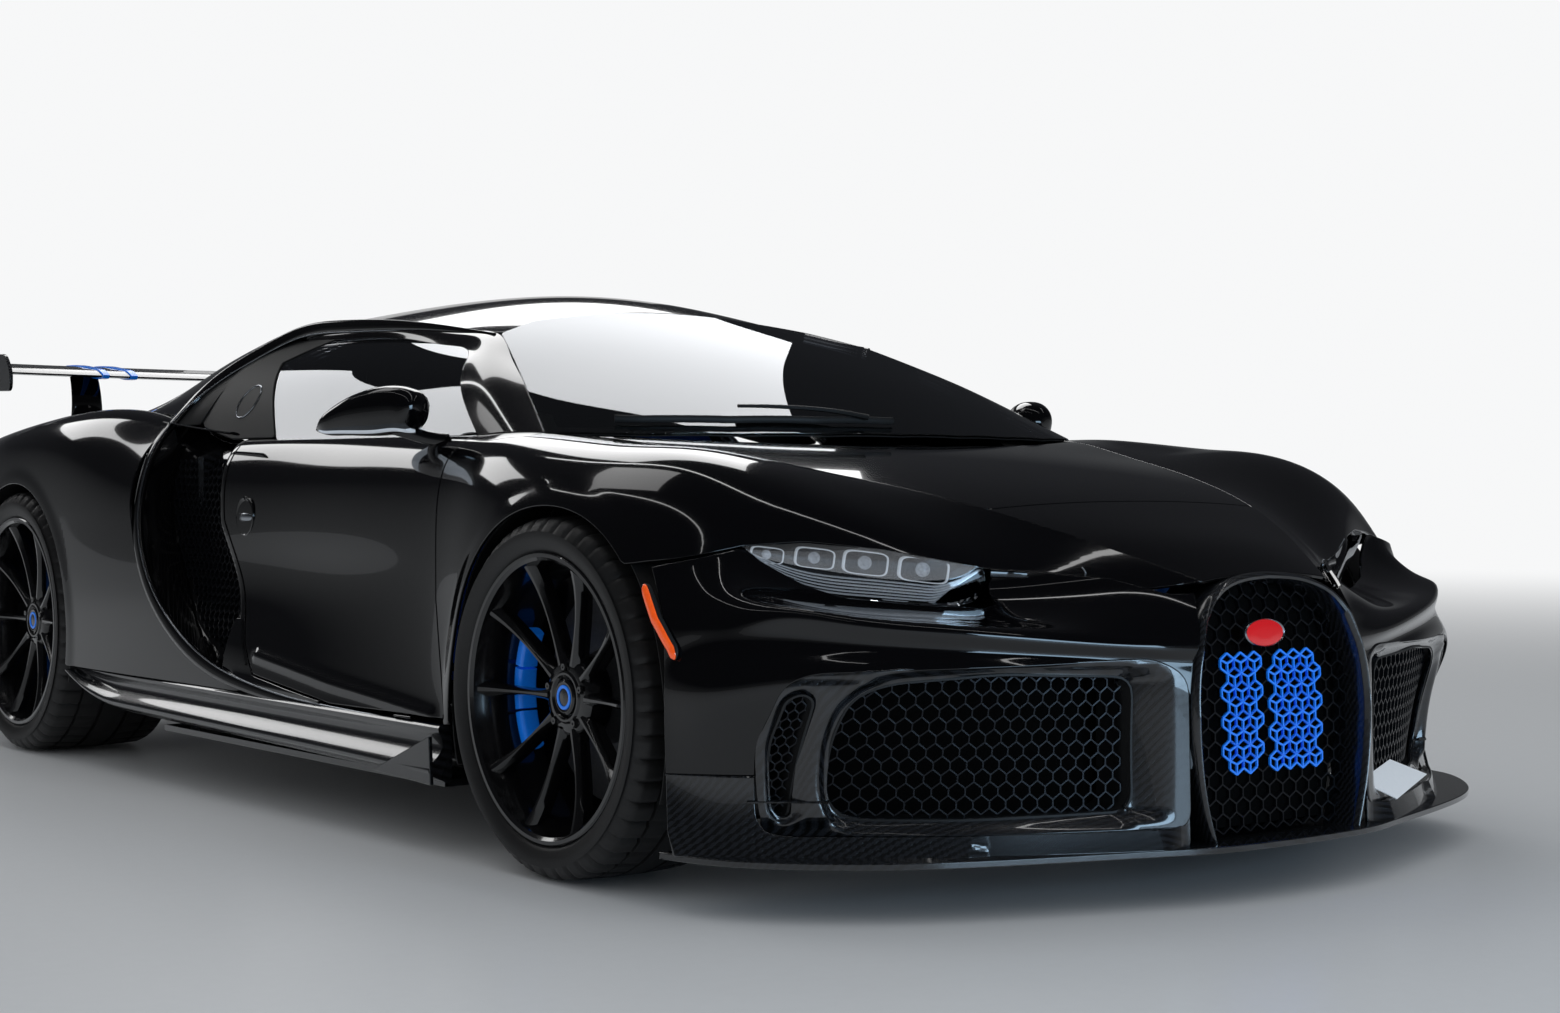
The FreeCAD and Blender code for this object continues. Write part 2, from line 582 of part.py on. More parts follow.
def tub():
    """Carbon tub: floor, sills, firewall, tunnel and rear bulkhead round the hollow cabin, with its hinge brackets."""
    f = FRONT_AXLE
    rear = REAR_AXLE - 900
    floor = box(-962 + SEAT_GAP, 962 - SEAT_GAP, f + 440, rear, FLOOR_Z, FLOOR_Z + FLOOR)
    tunnel = box(-130, 130, f + 440, rear, FLOOR_Z, 400)
    firewall = box(-700, 700, f + 440, f + 460, FLOOR_Z, 770)
    bulkhead = front_prism([(-871.7, FLOOR_Z), (871.7, FLOOR_Z), (871.7, 800), (720, 850), (510, 1054), (0, 1132.5), (-510, 1054),
                            (-720, 850), (-871.7, 800)], rear - 30, rear)
    shelf = box(-660, 660, f + 200, f + 460, COWL_TOP - 2 * COWL_WALL, COWL_TOP - COWL_WALL)
    pieces = [floor, tunnel, firewall, bulkhead, shelf]
    for side in (1, -1):
        x0, x1 = sorted((side * 760, side * 870))
        pieces.append(box(x0, x1, f + 440, rear, FLOOR_Z, 330))
        x0, x1 = sorted((side * 640, side * 764))
        pieces.append(box(x0, x1, f + 440, f + 534, FLOOR_Z, 782))
        x0, x1 = sorted((side * (BONNET_LUG_X + 12), side * (BONNET_LUG_X + 36)))
        pieces.append(box(x0, x1, BONNET_HINGE_Y - 15, BONNET_HINGE_Y + 15, COWL_TOP - 2 * COWL_WALL, BONNET_HINGE_Z + PIN_RADIUS))
        pieces.append(cylinder(PIN_RADIUS, (side * (BONNET_LUG_X - 8), BONNET_HINGE_Y, BONNET_HINGE_Z),
                               (side * (BONNET_LUG_X + 20), BONNET_HINGE_Y, BONNET_HINGE_Z)))
    for level in HINGE_LEVELS:
        pieces += both(on_hinge_line(hinge_bracket(), level))
    return fused(pieces)


def front_frame():
    """Front frame: two rails ahead of the firewall and the crash beam across their ends."""
    y0, y1 = FRONT_AXLE - 640, FRONT_AXLE + 440 - SEAT_GAP
    rails = both(box(RAIL_X - 60, RAIL_X, y0, y1, 190, 480))
    return fused(rails + [box(-RAIL_X, RAIL_X, y0 - 20, y0 + 20, 200, 420)])


def rear_frame():
    """Rear frame: two rails behind the bulkhead, tied across under the gearbox."""
    y0, y1 = REAR_AXLE - 900 + SEAT_GAP, REAR_AXLE + 300
    rails = both(box(RAIL_X - 60, RAIL_X, y0, y1, 200, 500))
    return fused(rails + [box(-RAIL_X, RAIL_X, y1 - 40, y1, 164 + SEAT_GAP, 204)])


def ring_profile(grow):
    """Edges of the horseshoe outline in its own leaning plane, grown outwards."""
    def place(x, z):
        return (x, NOSE + 40 + 0.115 * (z - 100), z)
    g = grow
    foot = place(198 + g, 106)
    heel = place(-198 - g, 106)
    knee, elbow = place(202 + g, 500 + g / 2), place(-202 - g, 500 + g / 2)
    edges = [arc(foot, place(238 + g, 330), knee), arc(knee, place(0, 578 + g), elbow),
             arc(elbow, place(-238 - g, 330), heel), line(heel, foot)]
    return Part.Face(Part.Wire(edges))


def grille_ring():
    """Horseshoe surround."""
    outer = ring_profile(0).extrude(V(0, 60, 0))
    inner = ring_profile(-22).extrude(V(0, 120, 0))
    inner.translate(V(0, -30, 0))
    foot = box(-300, 300, NOSE - 100, NOSE + 300, 0, 128)
    return outer.cut(inner.cut(foot))


def lattice(width, height, pitch_x, pitch_z, web, depth):
    """Plate of diamond cells in the XZ plane, its middle at the origin, bars a web wide."""
    plate = Part.Face(Part.makePolygon([V(-width / 2, 0, -height / 2), V(width / 2, 0, -height / 2),
                                        V(width / 2, 0, height / 2), V(-width / 2, 0, height / 2),
                                        V(-width / 2, 0, -height / 2)]))
    across = int(width / pitch_x) + 2
    up = int(height / pitch_z) + 2
    a, b = pitch_x / 2 - web, pitch_z / 2 - web * pitch_z / pitch_x
    cells = []
    for i in range(-across, across + 1):
        for j in range(-up, up + 1):
            if (i + j) % 2:
                continue
            x, z = i * pitch_x / 2, j * pitch_z / 2
            if abs(x) + a < width / 2 - web and abs(z) + b < height / 2 - web:
                pts = [V(x + a, 0, z), V(x, 0, z + b), V(x - a, 0, z), V(x, 0, z - b), V(x + a, 0, z)]
                cells.append(Part.Face(Part.makePolygon(pts)))
    return plate.cut(Part.makeCompound(cells)).extrude(V(0, depth, 0))


def grille():
    """Diamond lattice filling the horseshoe."""
    net = lattice(470, 500, 60, 44, 4, 8)
    net.rotate(V(0, 0, 0), V(1, 0, 0), -math.degrees(math.atan(0.115)))
    net.translate(V(0, NOSE + 40 + 0.115 * 240 + 22, 340))
    window = ring_profile(-22 - SEAT_GAP).extrude(V(0, 80, 0))
    return net.common(window).cut(box(-300, 300, NOSE - 100, NOSE + 300, 0, 128 + SEAT_GAP))


INTAKE = [(268, 172), (262, 392), (300, 428), (880, 402), (900, 385), (880, 196), (860, 170)]
INTAKE_FRAME = 12.0


def intake_frame():
    """Carbon surround that lines a lower intake back to its mesh."""
    y0, y1 = NOSE - 50, FRONT_AXLE - 300
    outer = front_prism(grown(INTAKE, -SEAT_GAP), y0, y1)
    inner = front_prism(grown(INTAKE, -INTAKE_FRAME), y0, y1)
    f = FRONT_AXLE
    depth = plan_prism([(240, f - 894), (450, f - 842), (645, f - 760), (820, f - 642), (965, f - 502), (965, f - 425),
                        (240, f - 735)], 100, 500)
    return outer.cut(inner).common(depth)


def intake_mesh():
    """Lattice behind a lower intake, spanning from the grille to the corner."""
    net = lattice(760, 290, 60, 44, 4, 8)
    net.rotate(V(0, 0, 0), V(0, 0, 1), 23.1)
    net.translate(V(590, FRONT_AXLE - 618, 290))
    return net.common(front_prism(grown(INTAKE, -INTAKE_FRAME - SEAT_GAP), NOSE - 50, FRONT_AXLE - 300))


def splitter():
    """Flat carbon splitter with upright fences at its corners."""
    half = [(0, NOSE), (200, NOSE + 14), (330, NOSE + 52), (640, NOSE + 176), (936, NOSE + 420), (972, NOSE + 500),
            (972, FRONT_AXLE - 388), (300, FRONT_AXLE - 388), (0, FRONT_AXLE - 388)]
    outline = half + [(-x, y) for x, y in half[::-1][1:-1]]
    blade = plan_prism(outline, 92, 105 - SEAT_GAP)
    return blade


def skirt():
    """Side skirt between the wheels."""
    wires = []
    for y, out in ((FRONT_AXLE + 410, 0), (FRONT_AXLE + 900, -6), (REAR_AXLE - 600, -4), (REAR_AXLE - 395, 4)):
        pts = [V(x, y, z) for x, z in ((962, 132), (1004 + out, 136), (1012 + out, 210), (990 + out, 256.7), (962, 256.7))]
        wires.append(Part.makePolygon(pts + pts[:1]))
    return Part.makeLoft(wires, True, True)


C_PATH = [
    (596, 938, 1062), (578, 1150, 1090), (580, 1345, 1112), (596, 1600, 1122), (618, 1760, 1112), (672, 1875, 1064),
    (734, 1950, 1010), (800, 1990, 944), (874, 1980, 872), (932, 1958, 800), (972, 1938, 681), (988, 1904, 595),
    (992, 1844, 498), (992, 1714, 394), (990, 1521, 312), (988, 1309, 273),
]
C_DEPTH = 30.0
C_WIDTH = 26.0


def c_bar(clear=0.0):
    """Bright line that wraps the side: along the cabin's edge, down behind the door and forward along the sill."""
    pts = [(x - 2, FRONT_AXLE + y, z) for x, y, z in C_PATH]
    return bar(pts, C_DEPTH + 2 * clear, C_WIDTH + 2 * clear, (1, 0, 0))


def haunch_trim():
    """Side-view region behind the wrap line."""
    pts = [(FRONT_AXLE + y, z) for _, y, z in C_PATH[7:]]
    return [(FRONT_AXLE + 1990, 990)] + pts + [(FRONT_AXLE + 1309, 200), (TAIL + 100, 200), (TAIL + 100, 990)]


def side_intake():
    """Recessed lattice panel between the door and the wrap line."""
    net = lattice(420, 520, 70, 52, 5, 8)
    net.rotate(V(0, 0, 0), V(0, 0, 1), 90)
    net.translate(V(880, FRONT_AXLE + 1720, 600))
    return net.cut(door_hole)


def tail_panel():
    """Tail panel across the car below the lamp, open for the exhaust."""
    outline = [(-880, 420), (880, 420), (900, 560), (880, 700), (640, 820), (-640, 820), (-880, 700), (-900, 560)]
    return front_prism(outline, REAR_AXLE + 790 + SEAT_GAP, REAR_AXLE + 820).cut(exhaust_core(52 + SEAT_GAP))


def tail_lamp():
    """Single thin lamp bar across the tail."""
    return box(-780, 780, REAR_AXLE + 820 + SEAT_GAP, REAR_AXLE + 836, 744, 762)


def diffuser():
    """Rear diffuser rising behind the rear axle with upright vanes."""
    y0, y1 = DIFFUSER_Y, TAIL - 30
    floor = side_prism([(y0, 150), (y1, 330), (y1, 344), (y0, 164)], -760, 760)
    pieces = [floor]
    for x in (-750, -450, -180, 180, 450, 750):
        pieces.append(side_prism([(y0, 140), (y1 + 0, 190), (y1, 340), (y0, 160)], x - 5, x + 5))
    return fused(pieces)


def rear_wing():
    """Fixed rear wing: blade, end plates and two swan stems down to the deck."""
    y = TAIL - 150
    blade = side_prism([(y - 150, 1062), (y - 60, 1082), (y + 60, 1094), (y + 150, 1098), (y + 148, 1086),
                        (y + 40, 1070), (y - 80, 1052)], -800, 800)
    pieces = [blade]
    for side in (1, -1):
        x = side * 806
        pieces.append(side_prism([(y - 160, 1000), (y + 150, 1010), (y + 150, 1128), (y - 120, 1118), (y - 165, 1060)],
                                 x - 6, x + 6))
        s = side * 520
        pieces.append(side_prism([(y - 70, 868), (y + 40, 864), (y + 30, 960), (y + 50, 1080), (y - 40, 1072),
                                  (y - 60, 980)], s - 9, s + 9))
    return fused(pieces)


def wing_rings():
    """Pairs of coloured sleeves round the blade beside each stem."""
    y = TAIL - 150
    rings = []
    for x in (430, 610):
        outer = side_prism([(y - 160, 1064), (y - 60, 1090), (y + 60, 1102), (y + 150, 1104), (y + 150, 1080),
                            (y + 40, 1064), (y - 80, 1046)], x - 12, x + 12)
        inner = side_prism([(y - 152, 1062), (y - 60, 1082.4), (y + 60, 1094.4), (y + 152, 1098.4), (y + 152, 1085.6),
                            (y + 40, 1069.6), (y - 80, 1051.6)], x - 20, x + 20)
        rings.append(outer.cut(inner))
    return rings


def wheel_set(name, hub_x, axle_y, radius, rim_radius, width, disc_radius, side):
    """Tyre, rim and disc of one wheel, placed at its hub on one side of the car."""
    hub_face = width / 2 - 14 - 46 - 52
    pieces = {
        "tyre_": tyre(radius, rim_radius, width),
        "rim_": rim(rim_radius, width),
        "brake_disc_": brake_disc(disc_radius, hub_face),
    }
    for kind, shape in pieces.items():
        shape.translate(V(hub_x, axle_y, radius))
        export(kind + name, shape if side > 0 else mirrored(shape))


KINGPIN_X = 778.0
FRONT_DISC_RADIUS = 205.0
REAR_DISC_RADIUS = 200.0


def upright(hub_x, axle_y, radius, width, kingpin_x, caliper_side):
    """Upright with its spindle through the rim's bore, a lug at each end of its post and the caliper's bracket."""
    hub_face = hub_x + width / 2 - 14 - 46 - 52
    spindle = cylinder(SPINDLE_RADIUS, (kingpin_x, axle_y, radius), (hub_face + 46, axle_y, radius))
    body = cylinder(62, (kingpin_x - 24, axle_y, radius), (kingpin_x + 22, axle_y, radius))
    post = box(kingpin_x - 22, kingpin_x + 22, axle_y - 28, axle_y + 28, radius - 118, radius + 118)
    face = hub_face - 48 - 66 - SEAT_GAP
    y0, y1 = sorted((axle_y + caliper_side * 20, axle_y + caliper_side * 190))
    bracket = box(face - 20, face, y0, y1, radius - 34, radius + 34)
    return fused([spindle, body, post, bracket])


def wishbones(axle_y, radius, kingpin_x):
    """Upper and lower arms from the frame rails to just off the upright's lugs, and a round eye on each."""
    arms = []
    inner_x = RAIL_X - 10
    rail = box(0, RAIL_X, axle_y - 400, axle_y + 400, 0, 900)
    for z, eye_z in ((radius + 118, 1), (radius - 118, -1)):
        z0 = z + eye_z * SEAT_GAP
        z1 = z0 + eye_z * 24
        lo, hi = min(z0, z1), max(z0, z1)
        eye = Part.makeCylinder(26, hi - lo, V(kingpin_x, axle_y, lo))
        mid = (lo + hi) / 2
        front = bar([(inner_x, axle_y - 190, mid), (kingpin_x - 6, axle_y, mid)], 26, 20)
        back = bar([(inner_x, axle_y + 190, mid), (kingpin_x - 6, axle_y, mid)], 26, 20)
        arms.append(fused([eye, front, back]).cut(rail))
    return arms


def liner(axle_y, radius, x1, centre_z, arm_heights, tray_top):
    """Wheel-well liner: half a drum whose inner wall stands on the undertray, open below and where the arms pass."""
    x0 = WELL_WALL_X
    outer = cylinder(radius + LINER, (x0 - LINER, axle_y, centre_z), (x1, axle_y, centre_z))
    inner = cylinder(radius, (x0, axle_y, centre_z), (x1 + 5, axle_y, centre_z))
    shell = outer.cut(inner).cut(box(x0 - 50, x1 + 50, axle_y - 900, axle_y + 900, -500, centre_z - 90))
    for a, b in ((-400, -270), (270, 400)):
        leg = box(x0 - LINER, x0, axle_y + a, axle_y + b, tray_top + SEAT_GAP, centre_z - 60)
        shell = shell.fuse(leg)
    for z in arm_heights:
        shell = shell.cut(box(x0 - 50, x0 + 20, axle_y - 260, axle_y + 260, z - 40, z + 40))
    return shell


def headlamp():
    """Slit headlamp block whose face stands back from its lower edge."""
    plan = plan_prism([(470, FRONT_AXLE - 640), (660, FRONT_AXLE - 545), (880, FRONT_AXLE - 395),
                       (880, FRONT_AXLE - 335), (660, FRONT_AXLE - 455), (470, FRONT_AXLE - 550)], 480, 700)
    return front_prism(headlamp_outline(-SEAT_GAP), FRONT_AXLE - 700, FRONT_AXLE - 300).common(plan)


def cowl():
    """Sunk tray between the bonnet's rear edge and the windscreen's foot."""
    foot = bow(COWL_CORNER, COWL_MID)
    front = [(x * 0.93, y - 92) for x, y in foot]
    posts = [box(min(a, b), max(a, b), BONNET_HINGE_Y - 15 - SEAT_GAP, BONNET_HINGE_Y + 15 + SEAT_GAP, 700, 900)
             for a, b in ((BONNET_LUG_X + 12 - SEAT_GAP, BONNET_LUG_X + 36 + SEAT_GAP),
                          (-BONNET_LUG_X - 12 + SEAT_GAP, -BONNET_LUG_X - 36 - SEAT_GAP))]
    half_back = [(x, y + 20) for x, y in foot]
    outline = front + [(-x, y) for x, y in front[::-1][1:]] + [(-x, y) for x, y in half_back[:-1]] + half_back[::-1]
    tray = plan_prism(outline, COWL_TOP - COWL_WALL + SEAT_GAP, COWL_TOP)
    return tray.cut(posts[0]).cut(posts[1])


def cabin_frame():
    """Pillars, header and cant rails that carry the glass and roof."""
    cant = [(x - 30, y, z - 24) for x, y, z in
            ((742, FRONT_AXLE + 520, 834), (660, FRONT_AXLE + 660, 966), (540, FRONT_AXLE + 930, 1070),
             (548, FRONT_AXLE + 1100, 1084), (562, FRONT_AXLE + 1312, 1100), (576, FRONT_AXLE + 1600, 1106),
             (586, REAR_AXLE - 830, 1096))]
    rails = both(bar(cant, 44, 34))
    header = bar([(-510, FRONT_AXLE + 950, 1044), (-260, FRONT_AXLE + 1045, 1108), (0, FRONT_AXLE + 1080, 1128),
                  (260, FRONT_AXLE + 1045, 1108), (510, FRONT_AXLE + 950, 1044)], 60, 34)
    hoop = bar([(-560, REAR_AXLE - 900, 1062), (0, REAR_AXLE - 900, 1148), (560, REAR_AXLE - 900, 1062)], 40, 30)
    return fused(rails + [header, hoop])


def seat():
    """Bucket seat: cushion, leaning back and head rest in one shell."""
    f = FRONT_AXLE
    side = [(f + 900, 142.3), (f + 880, 300), (f + 980, 330), (f + 1330, 262), (f + 1420, 300), (f + 1640, 820),
            (f + 1665, 960), (f + 1760, 950), (f + 1740, 800), (f + 1560, 240), (f + 1500, 142.3)]
    return side_prism(side, 150, 620)


def dashboard():
    """Dashboard under the windscreen, across the cabin."""
    f = FRONT_AXLE
    side = [(f + 460.3, 560), (f + 460.3, 760), (f + 520, 800), (f + 700, 790), (f + 760, 720), (f + 740, 620),
            (f + 620, 560)]
    return side_prism(side, -630, 630)


def steering_wheel():
    """Steering wheel on its short column from the dashboard, on the left."""
    ring = Part.makeTorus(176, 15)
    spoke = box(-165, 165, -18, 18, -8, 8)
    hub = Part.makeCylinder(48, 40, V(0, 0, -24))
    column = Part.makeCylinder(26, 150, V(0, 0, 12))
    wheel = fused([ring, spoke, hub, column])
    wheel.rotate(V(0, 0, 0), V(1, 0, 0), 68)
    wheel.translate(V(380, FRONT_AXLE + 880, 655))
    return wheel


def engine():
    """Engine and gearbox as one plain block at its real place."""
    block = box(-RAIL_X + 60 + SEAT_GAP, RAIL_X - 60 - SEAT_GAP, REAR_AXLE - 880, REAR_AXLE - 60, 200, 780)
    gearbox = box(-160, 160, REAR_AXLE - 70, REAR_AXLE + 330, 210, 520)
    return fused([block, gearbox])


def undertray_front():
    return box(-WELL_WALL_X, WELL_WALL_X, FRONT_AXLE - 388 + SEAT_GAP, FRONT_AXLE + 440, 105, FLOOR_Z)


def undertray_rear():
    return box(-WELL_WALL_X, WELL_WALL_X, REAR_AXLE - 900, DIFFUSER_Y - SEAT_GAP, 150, 164)


def exhaust_core(radius, back=30):
    """Two round bars side by side through the tail, for the pipe or its bore."""
    bars = [cylinder(radius, (x, REAR_AXLE + 700, 500), (x, REAR_AXLE + 820 + back, 500)) for x in (-60, 60)]
    return fused(bars)


def exhaust():
    """Central exhaust outlet: a flat-sided oval pipe, open at its end."""
    bore = exhaust_core(46, 40)
    bore.translate(V(0, 20, 0))
    return exhaust_core(52).cut(bore)


export("bonnet", bonnet())
lamp_hole = front_prism(headlamp_outline(), FRONT_AXLE - 700, FRONT_AXLE - 300)
below_skirt_top = box(-1200, 1200, FRONT_AXLE - 900, TAIL + 200, -100, 257)
screen_room = plan_prism(screen_outline(4), 700, 1300)
export("front_fenders", *both(fender().cut(lamp_hole).cut(below_skirt_top).cut(screen_room)))
ring_hole = ring_profile(SEAT_GAP).extrude(V(0, 300, 0))
ring_hole.translate(V(0, -80, 0))
top = nose_top().cut(ring_hole).cut(lamp_hole).cut(mirrored(lamp_hole))
export("front_bumper", *both(nose().cut(ring_hole)), top)
groove = c_bar(SEAT_GAP)
export("rear_fenders", *both(haunch().common(side_prism(haunch_trim(), 300, 1200)).cut(groove).cut(below_skirt_top)))
export("engine_cover", engine_cover().cut(groove).cut(mirrored(groove)))
roof_panel = roof().cut(groove).cut(mirrored(groove))
export("roof", roof_panel)
screen_glass = windscreen()
export("windscreen", screen_glass)
for side_name, turn in (("left", lambda s: s), ("right", mirrored)):
    export("door_" + side_name, turn(door_shell()))
    export("door_glass_" + side_name, turn(side_glass(DOOR_GLASS)))
    export("mirror_" + side_name, turn(mirror_head()))
export("quarter_panels", *both(side_glass(QUARTER, 12.0).cut(groove)))
export("tub", tub())
export("front_frame", front_frame())
export("rear_frame", rear_frame())
export("grille_ring", grille_ring())
export("grille", grille())
export("intake_mesh", *both(intake_mesh()))
export("intake_frames", *both(intake_frame()))
export("splitter", splitter())
export("side_skirts", *both(skirt()))
export("c_bars", *both(c_bar()))
export("side_intakes", *both(side_intake()))
export("tail_panel", tail_panel())
export("tail_lamp", tail_lamp())
export("diffuser", diffuser())
export("rear_wing", rear_wing().cut(engine_cover()))
export("wing_rings", *(both(wing_rings()[0]) + both(wing_rings()[1])))
for name, side in (("fl", 1), ("fr", -1)):
    wheel_set(name, FRONT_HUB_X, FRONT_AXLE, FRONT_TYRE_RADIUS, FRONT_RIM_RADIUS, FRONT_TYRE_WIDTH,
              FRONT_DISC_RADIUS, side)
for name, side in (("rl", 1), ("rr", -1)):
    wheel_set(name, REAR_HUB_X, REAR_AXLE, REAR_TYRE_RADIUS, REAR_RIM_RADIUS, REAR_TYRE_WIDTH, REAR_DISC_RADIUS, side)
export("headlamps", *both(headlamp()))
export("cowl", cowl())
frame = cabin_frame().cut(groove).cut(mirrored(groove)).cut(roof_panel).cut(screen_glass)
export("cabin_frame", max(frame.Solids, key=lambda solid: solid.Volume))
export("seats", *both(seat()))
export("dashboard", dashboard())
export("steering_wheel", steering_wheel().cut(dashboard()))
export("engine", engine())
export("undertray", undertray_front(), undertray_rear())
export("exhaust", exhaust())
export("front_wishbones", *[s for a in wishbones(FRONT_AXLE, FRONT_TYRE_RADIUS, KINGPIN_X) for s in both(a)])
export("rear_wishbones", *[s for a in wishbones(REAR_AXLE, REAR_TYRE_RADIUS, 715) for s in both(a)])
export("wheel_liners", *both(liner(FRONT_AXLE, FRONT_ARCH + LINER_CLEAR, 838, 315, (210, 470), FLOOR_Z)),
       *both(liner(REAR_AXLE, REAR_ARCH + 20, 910, 345, (226, 486), 164)))
for name, turn in (("left", lambda s: s), ("right", mirrored)):
    export("knuckle_" + name, turn(upright(FRONT_HUB_X, FRONT_AXLE, FRONT_TYRE_RADIUS, FRONT_TYRE_WIDTH, KINGPIN_X, 1)))
    pad = caliper(FRONT_DISC_RADIUS, FRONT_TYRE_WIDTH / 2 - 112 - 48, True)
    pad.translate(V(FRONT_HUB_X, FRONT_AXLE, FRONT_TYRE_RADIUS))
    export("caliper_" + name, turn(pad))
export("rear_uprights", *both(upright(REAR_HUB_X, REAR_AXLE, REAR_TYRE_RADIUS, REAR_TYRE_WIDTH, 715, -1)))
pad = caliper(REAR_DISC_RADIUS, REAR_TYRE_WIDTH / 2 - 112 - 48, False)
pad.translate(V(REAR_HUB_X, REAR_AXLE, REAR_TYRE_RADIUS))
export("rear_calipers", *both(pad))
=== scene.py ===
"""Looks of a mid-engined two-door hypercar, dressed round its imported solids.

Sizes are millimetres in the car's frame: X across with the car's left positive, Y towards the tail, Z up from the
ground. A shape is turned into metres once, when its mesh is made.
"""

import logging
import math
from dataclasses import dataclass, field
from enum import Enum
from typing import Optional, Sequence

import bpy
import numpy as np
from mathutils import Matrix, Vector

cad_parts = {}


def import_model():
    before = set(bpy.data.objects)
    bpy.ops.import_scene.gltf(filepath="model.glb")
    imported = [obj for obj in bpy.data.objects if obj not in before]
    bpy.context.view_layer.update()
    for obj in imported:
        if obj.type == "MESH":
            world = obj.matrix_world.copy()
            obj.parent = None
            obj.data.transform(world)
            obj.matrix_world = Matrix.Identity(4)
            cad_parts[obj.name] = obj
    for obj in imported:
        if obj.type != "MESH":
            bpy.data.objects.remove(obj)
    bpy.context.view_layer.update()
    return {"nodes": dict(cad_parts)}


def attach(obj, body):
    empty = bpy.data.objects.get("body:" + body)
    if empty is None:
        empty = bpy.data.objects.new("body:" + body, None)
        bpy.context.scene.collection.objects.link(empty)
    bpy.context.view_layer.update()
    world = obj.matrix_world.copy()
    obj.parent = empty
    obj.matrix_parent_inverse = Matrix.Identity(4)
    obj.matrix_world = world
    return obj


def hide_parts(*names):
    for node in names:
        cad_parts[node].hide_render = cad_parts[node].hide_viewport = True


log = logging.getLogger("hypercar")

Array = np.ndarray
MM = 0.001
FRONT_AXLE = -1312.0
REAR_AXLE = 1399.0
TAIL = 2272.0
WIDEST = 1024.0
DOOR_GAP = 3.5
LEAN = (1, 0, 0.2)


@dataclass
class Shape:
    """A mesh in millimetres: points, triangles, quads, many-sided caps and, where they are known, its normals."""

    points: Array
    tris: Array = field(default_factory=lambda: np.zeros((0, 3), int))
    quads: Array = field(default_factory=lambda: np.zeros((0, 4), int))
    caps: list = field(default_factory=list)
    normals: Optional[Array] = None

    def flipped(self) -> "Shape":
        """The same shape with its faces turned round."""
        normals = None if self.normals is None else -self.normals
        return Shape(self.points, self.tris[:, ::-1], self.quads[:, ::-1], [c[::-1] for c in self.caps], normals)

    def mirrored(self) -> "Shape":
        """The same shape on the other side of the car, faces still outwards."""
        turn = np.array([-1.0, 1.0, 1.0])
        normals = None if self.normals is None else self.normals * turn
        return Shape(self.points * turn, self.tris[:, ::-1], self.quads[:, ::-1], [c[::-1] for c in self.caps], normals)

    def moved(self, by: Sequence[float]) -> "Shape":
        """The same shape carried by a vector."""
        return Shape(self.points + np.asarray(by, float), self.tris, self.quads, self.caps, self.normals)

    def outward(self) -> "Shape":
        """The same closed shape with a positive volume: six times it is the sum over triangles of a . (b x c)."""
        fans = [self.tris, self.quads[:, [0, 1, 2]], self.quads[:, [0, 2, 3]]]
        for cap in self.caps:
            ring = np.asarray(cap)
            fans.append(np.stack([np.full(len(ring) - 2, ring[0]), ring[1:-1], ring[2:]], 1))
        corner = self.points[np.concatenate(fans)]
        volume = np.einsum("ij,ij->", corner[:, 0], np.cross(corner[:, 1], corner[:, 2]))
        return self if volume >= 0 else self.flipped()


def joined(shapes: Sequence[Shape]) -> Shape:
    """One shape of several, side by side.

    Args:
        shapes: the shapes, all with normals or all without.

    Returns:
        The shape with the points and faces of them all.
    """
    starts = np.cumsum([0] + [len(s.points) for s in shapes[:-1]])
    with_normals = all(s.normals is not None for s in shapes)
    return Shape(
        np.concatenate([s.points for s in shapes]),
        np.concatenate([s.tris + a for s, a in zip(shapes, starts)]),
        np.concatenate([s.quads + a for s, a in zip(shapes, starts)]),
        [[i + int(a) for i in cap] for s, a in zip(shapes, starts) for cap in s.caps],
        np.concatenate([s.normals for s in shapes]) if with_normals else None,
    )


def both(shape: Shape) -> Shape:
    """A shape and its mirror image as one."""
    return joined([shape, shape.mirrored()])


def unit(vectors: Array) -> Array:
    """Vectors made one long."""
    size = np.linalg.norm(vectors, axis=-1, keepdims=True)
    return vectors / np.where(size < 1e-9, 1.0, size)


def spline_matrix(knots: Array, places: Array) -> Array:
    """Natural cubic spline as a matrix: values at the knots times it give values at the places.

    The second derivatives solve the usual tridiagonal system with zero at both ends, and each span is the cubic
    a*y0 + b*y1 + ((a^3 - a)*m0 + (b^3 - b)*m1) * h^2 / 6.

    Args:
        knots: rising parameters of the given values.
        places: parameters at which the spline is wanted.

    Returns:
        Matrix of places by knots.
    """
    n = len(knots)
    h = np.diff(knots)
    left, right = np.eye(n), np.zeros((n, n))
    i = np.arange(1, n - 1)
    left[i, i - 1], left[i, i], left[i, i + 1] = h[i - 1], 2 * (h[i - 1] + h[i]), h[i]
    right[i, i - 1], right[i, i], right[i, i + 1] = 6 / h[i - 1], -6 / h[i - 1] - 6 / h[i], 6 / h[i]
    curvature = np.linalg.solve(left, right)
    k = np.clip(np.searchsorted(knots, places) - 1, 0, n - 2)
    a = (knots[k + 1] - places) / h[k]
    b = 1 - a
    eye = np.eye(n)
    bend = ((a**3 - a) * h[k] ** 2 / 6)[:, None] * curvature[k]
    bend += ((b**3 - b) * h[k] ** 2 / 6)[:, None] * curvature[k + 1]
    return a[:, None] * eye[k] + b[:, None] * eye[k + 1] + bend


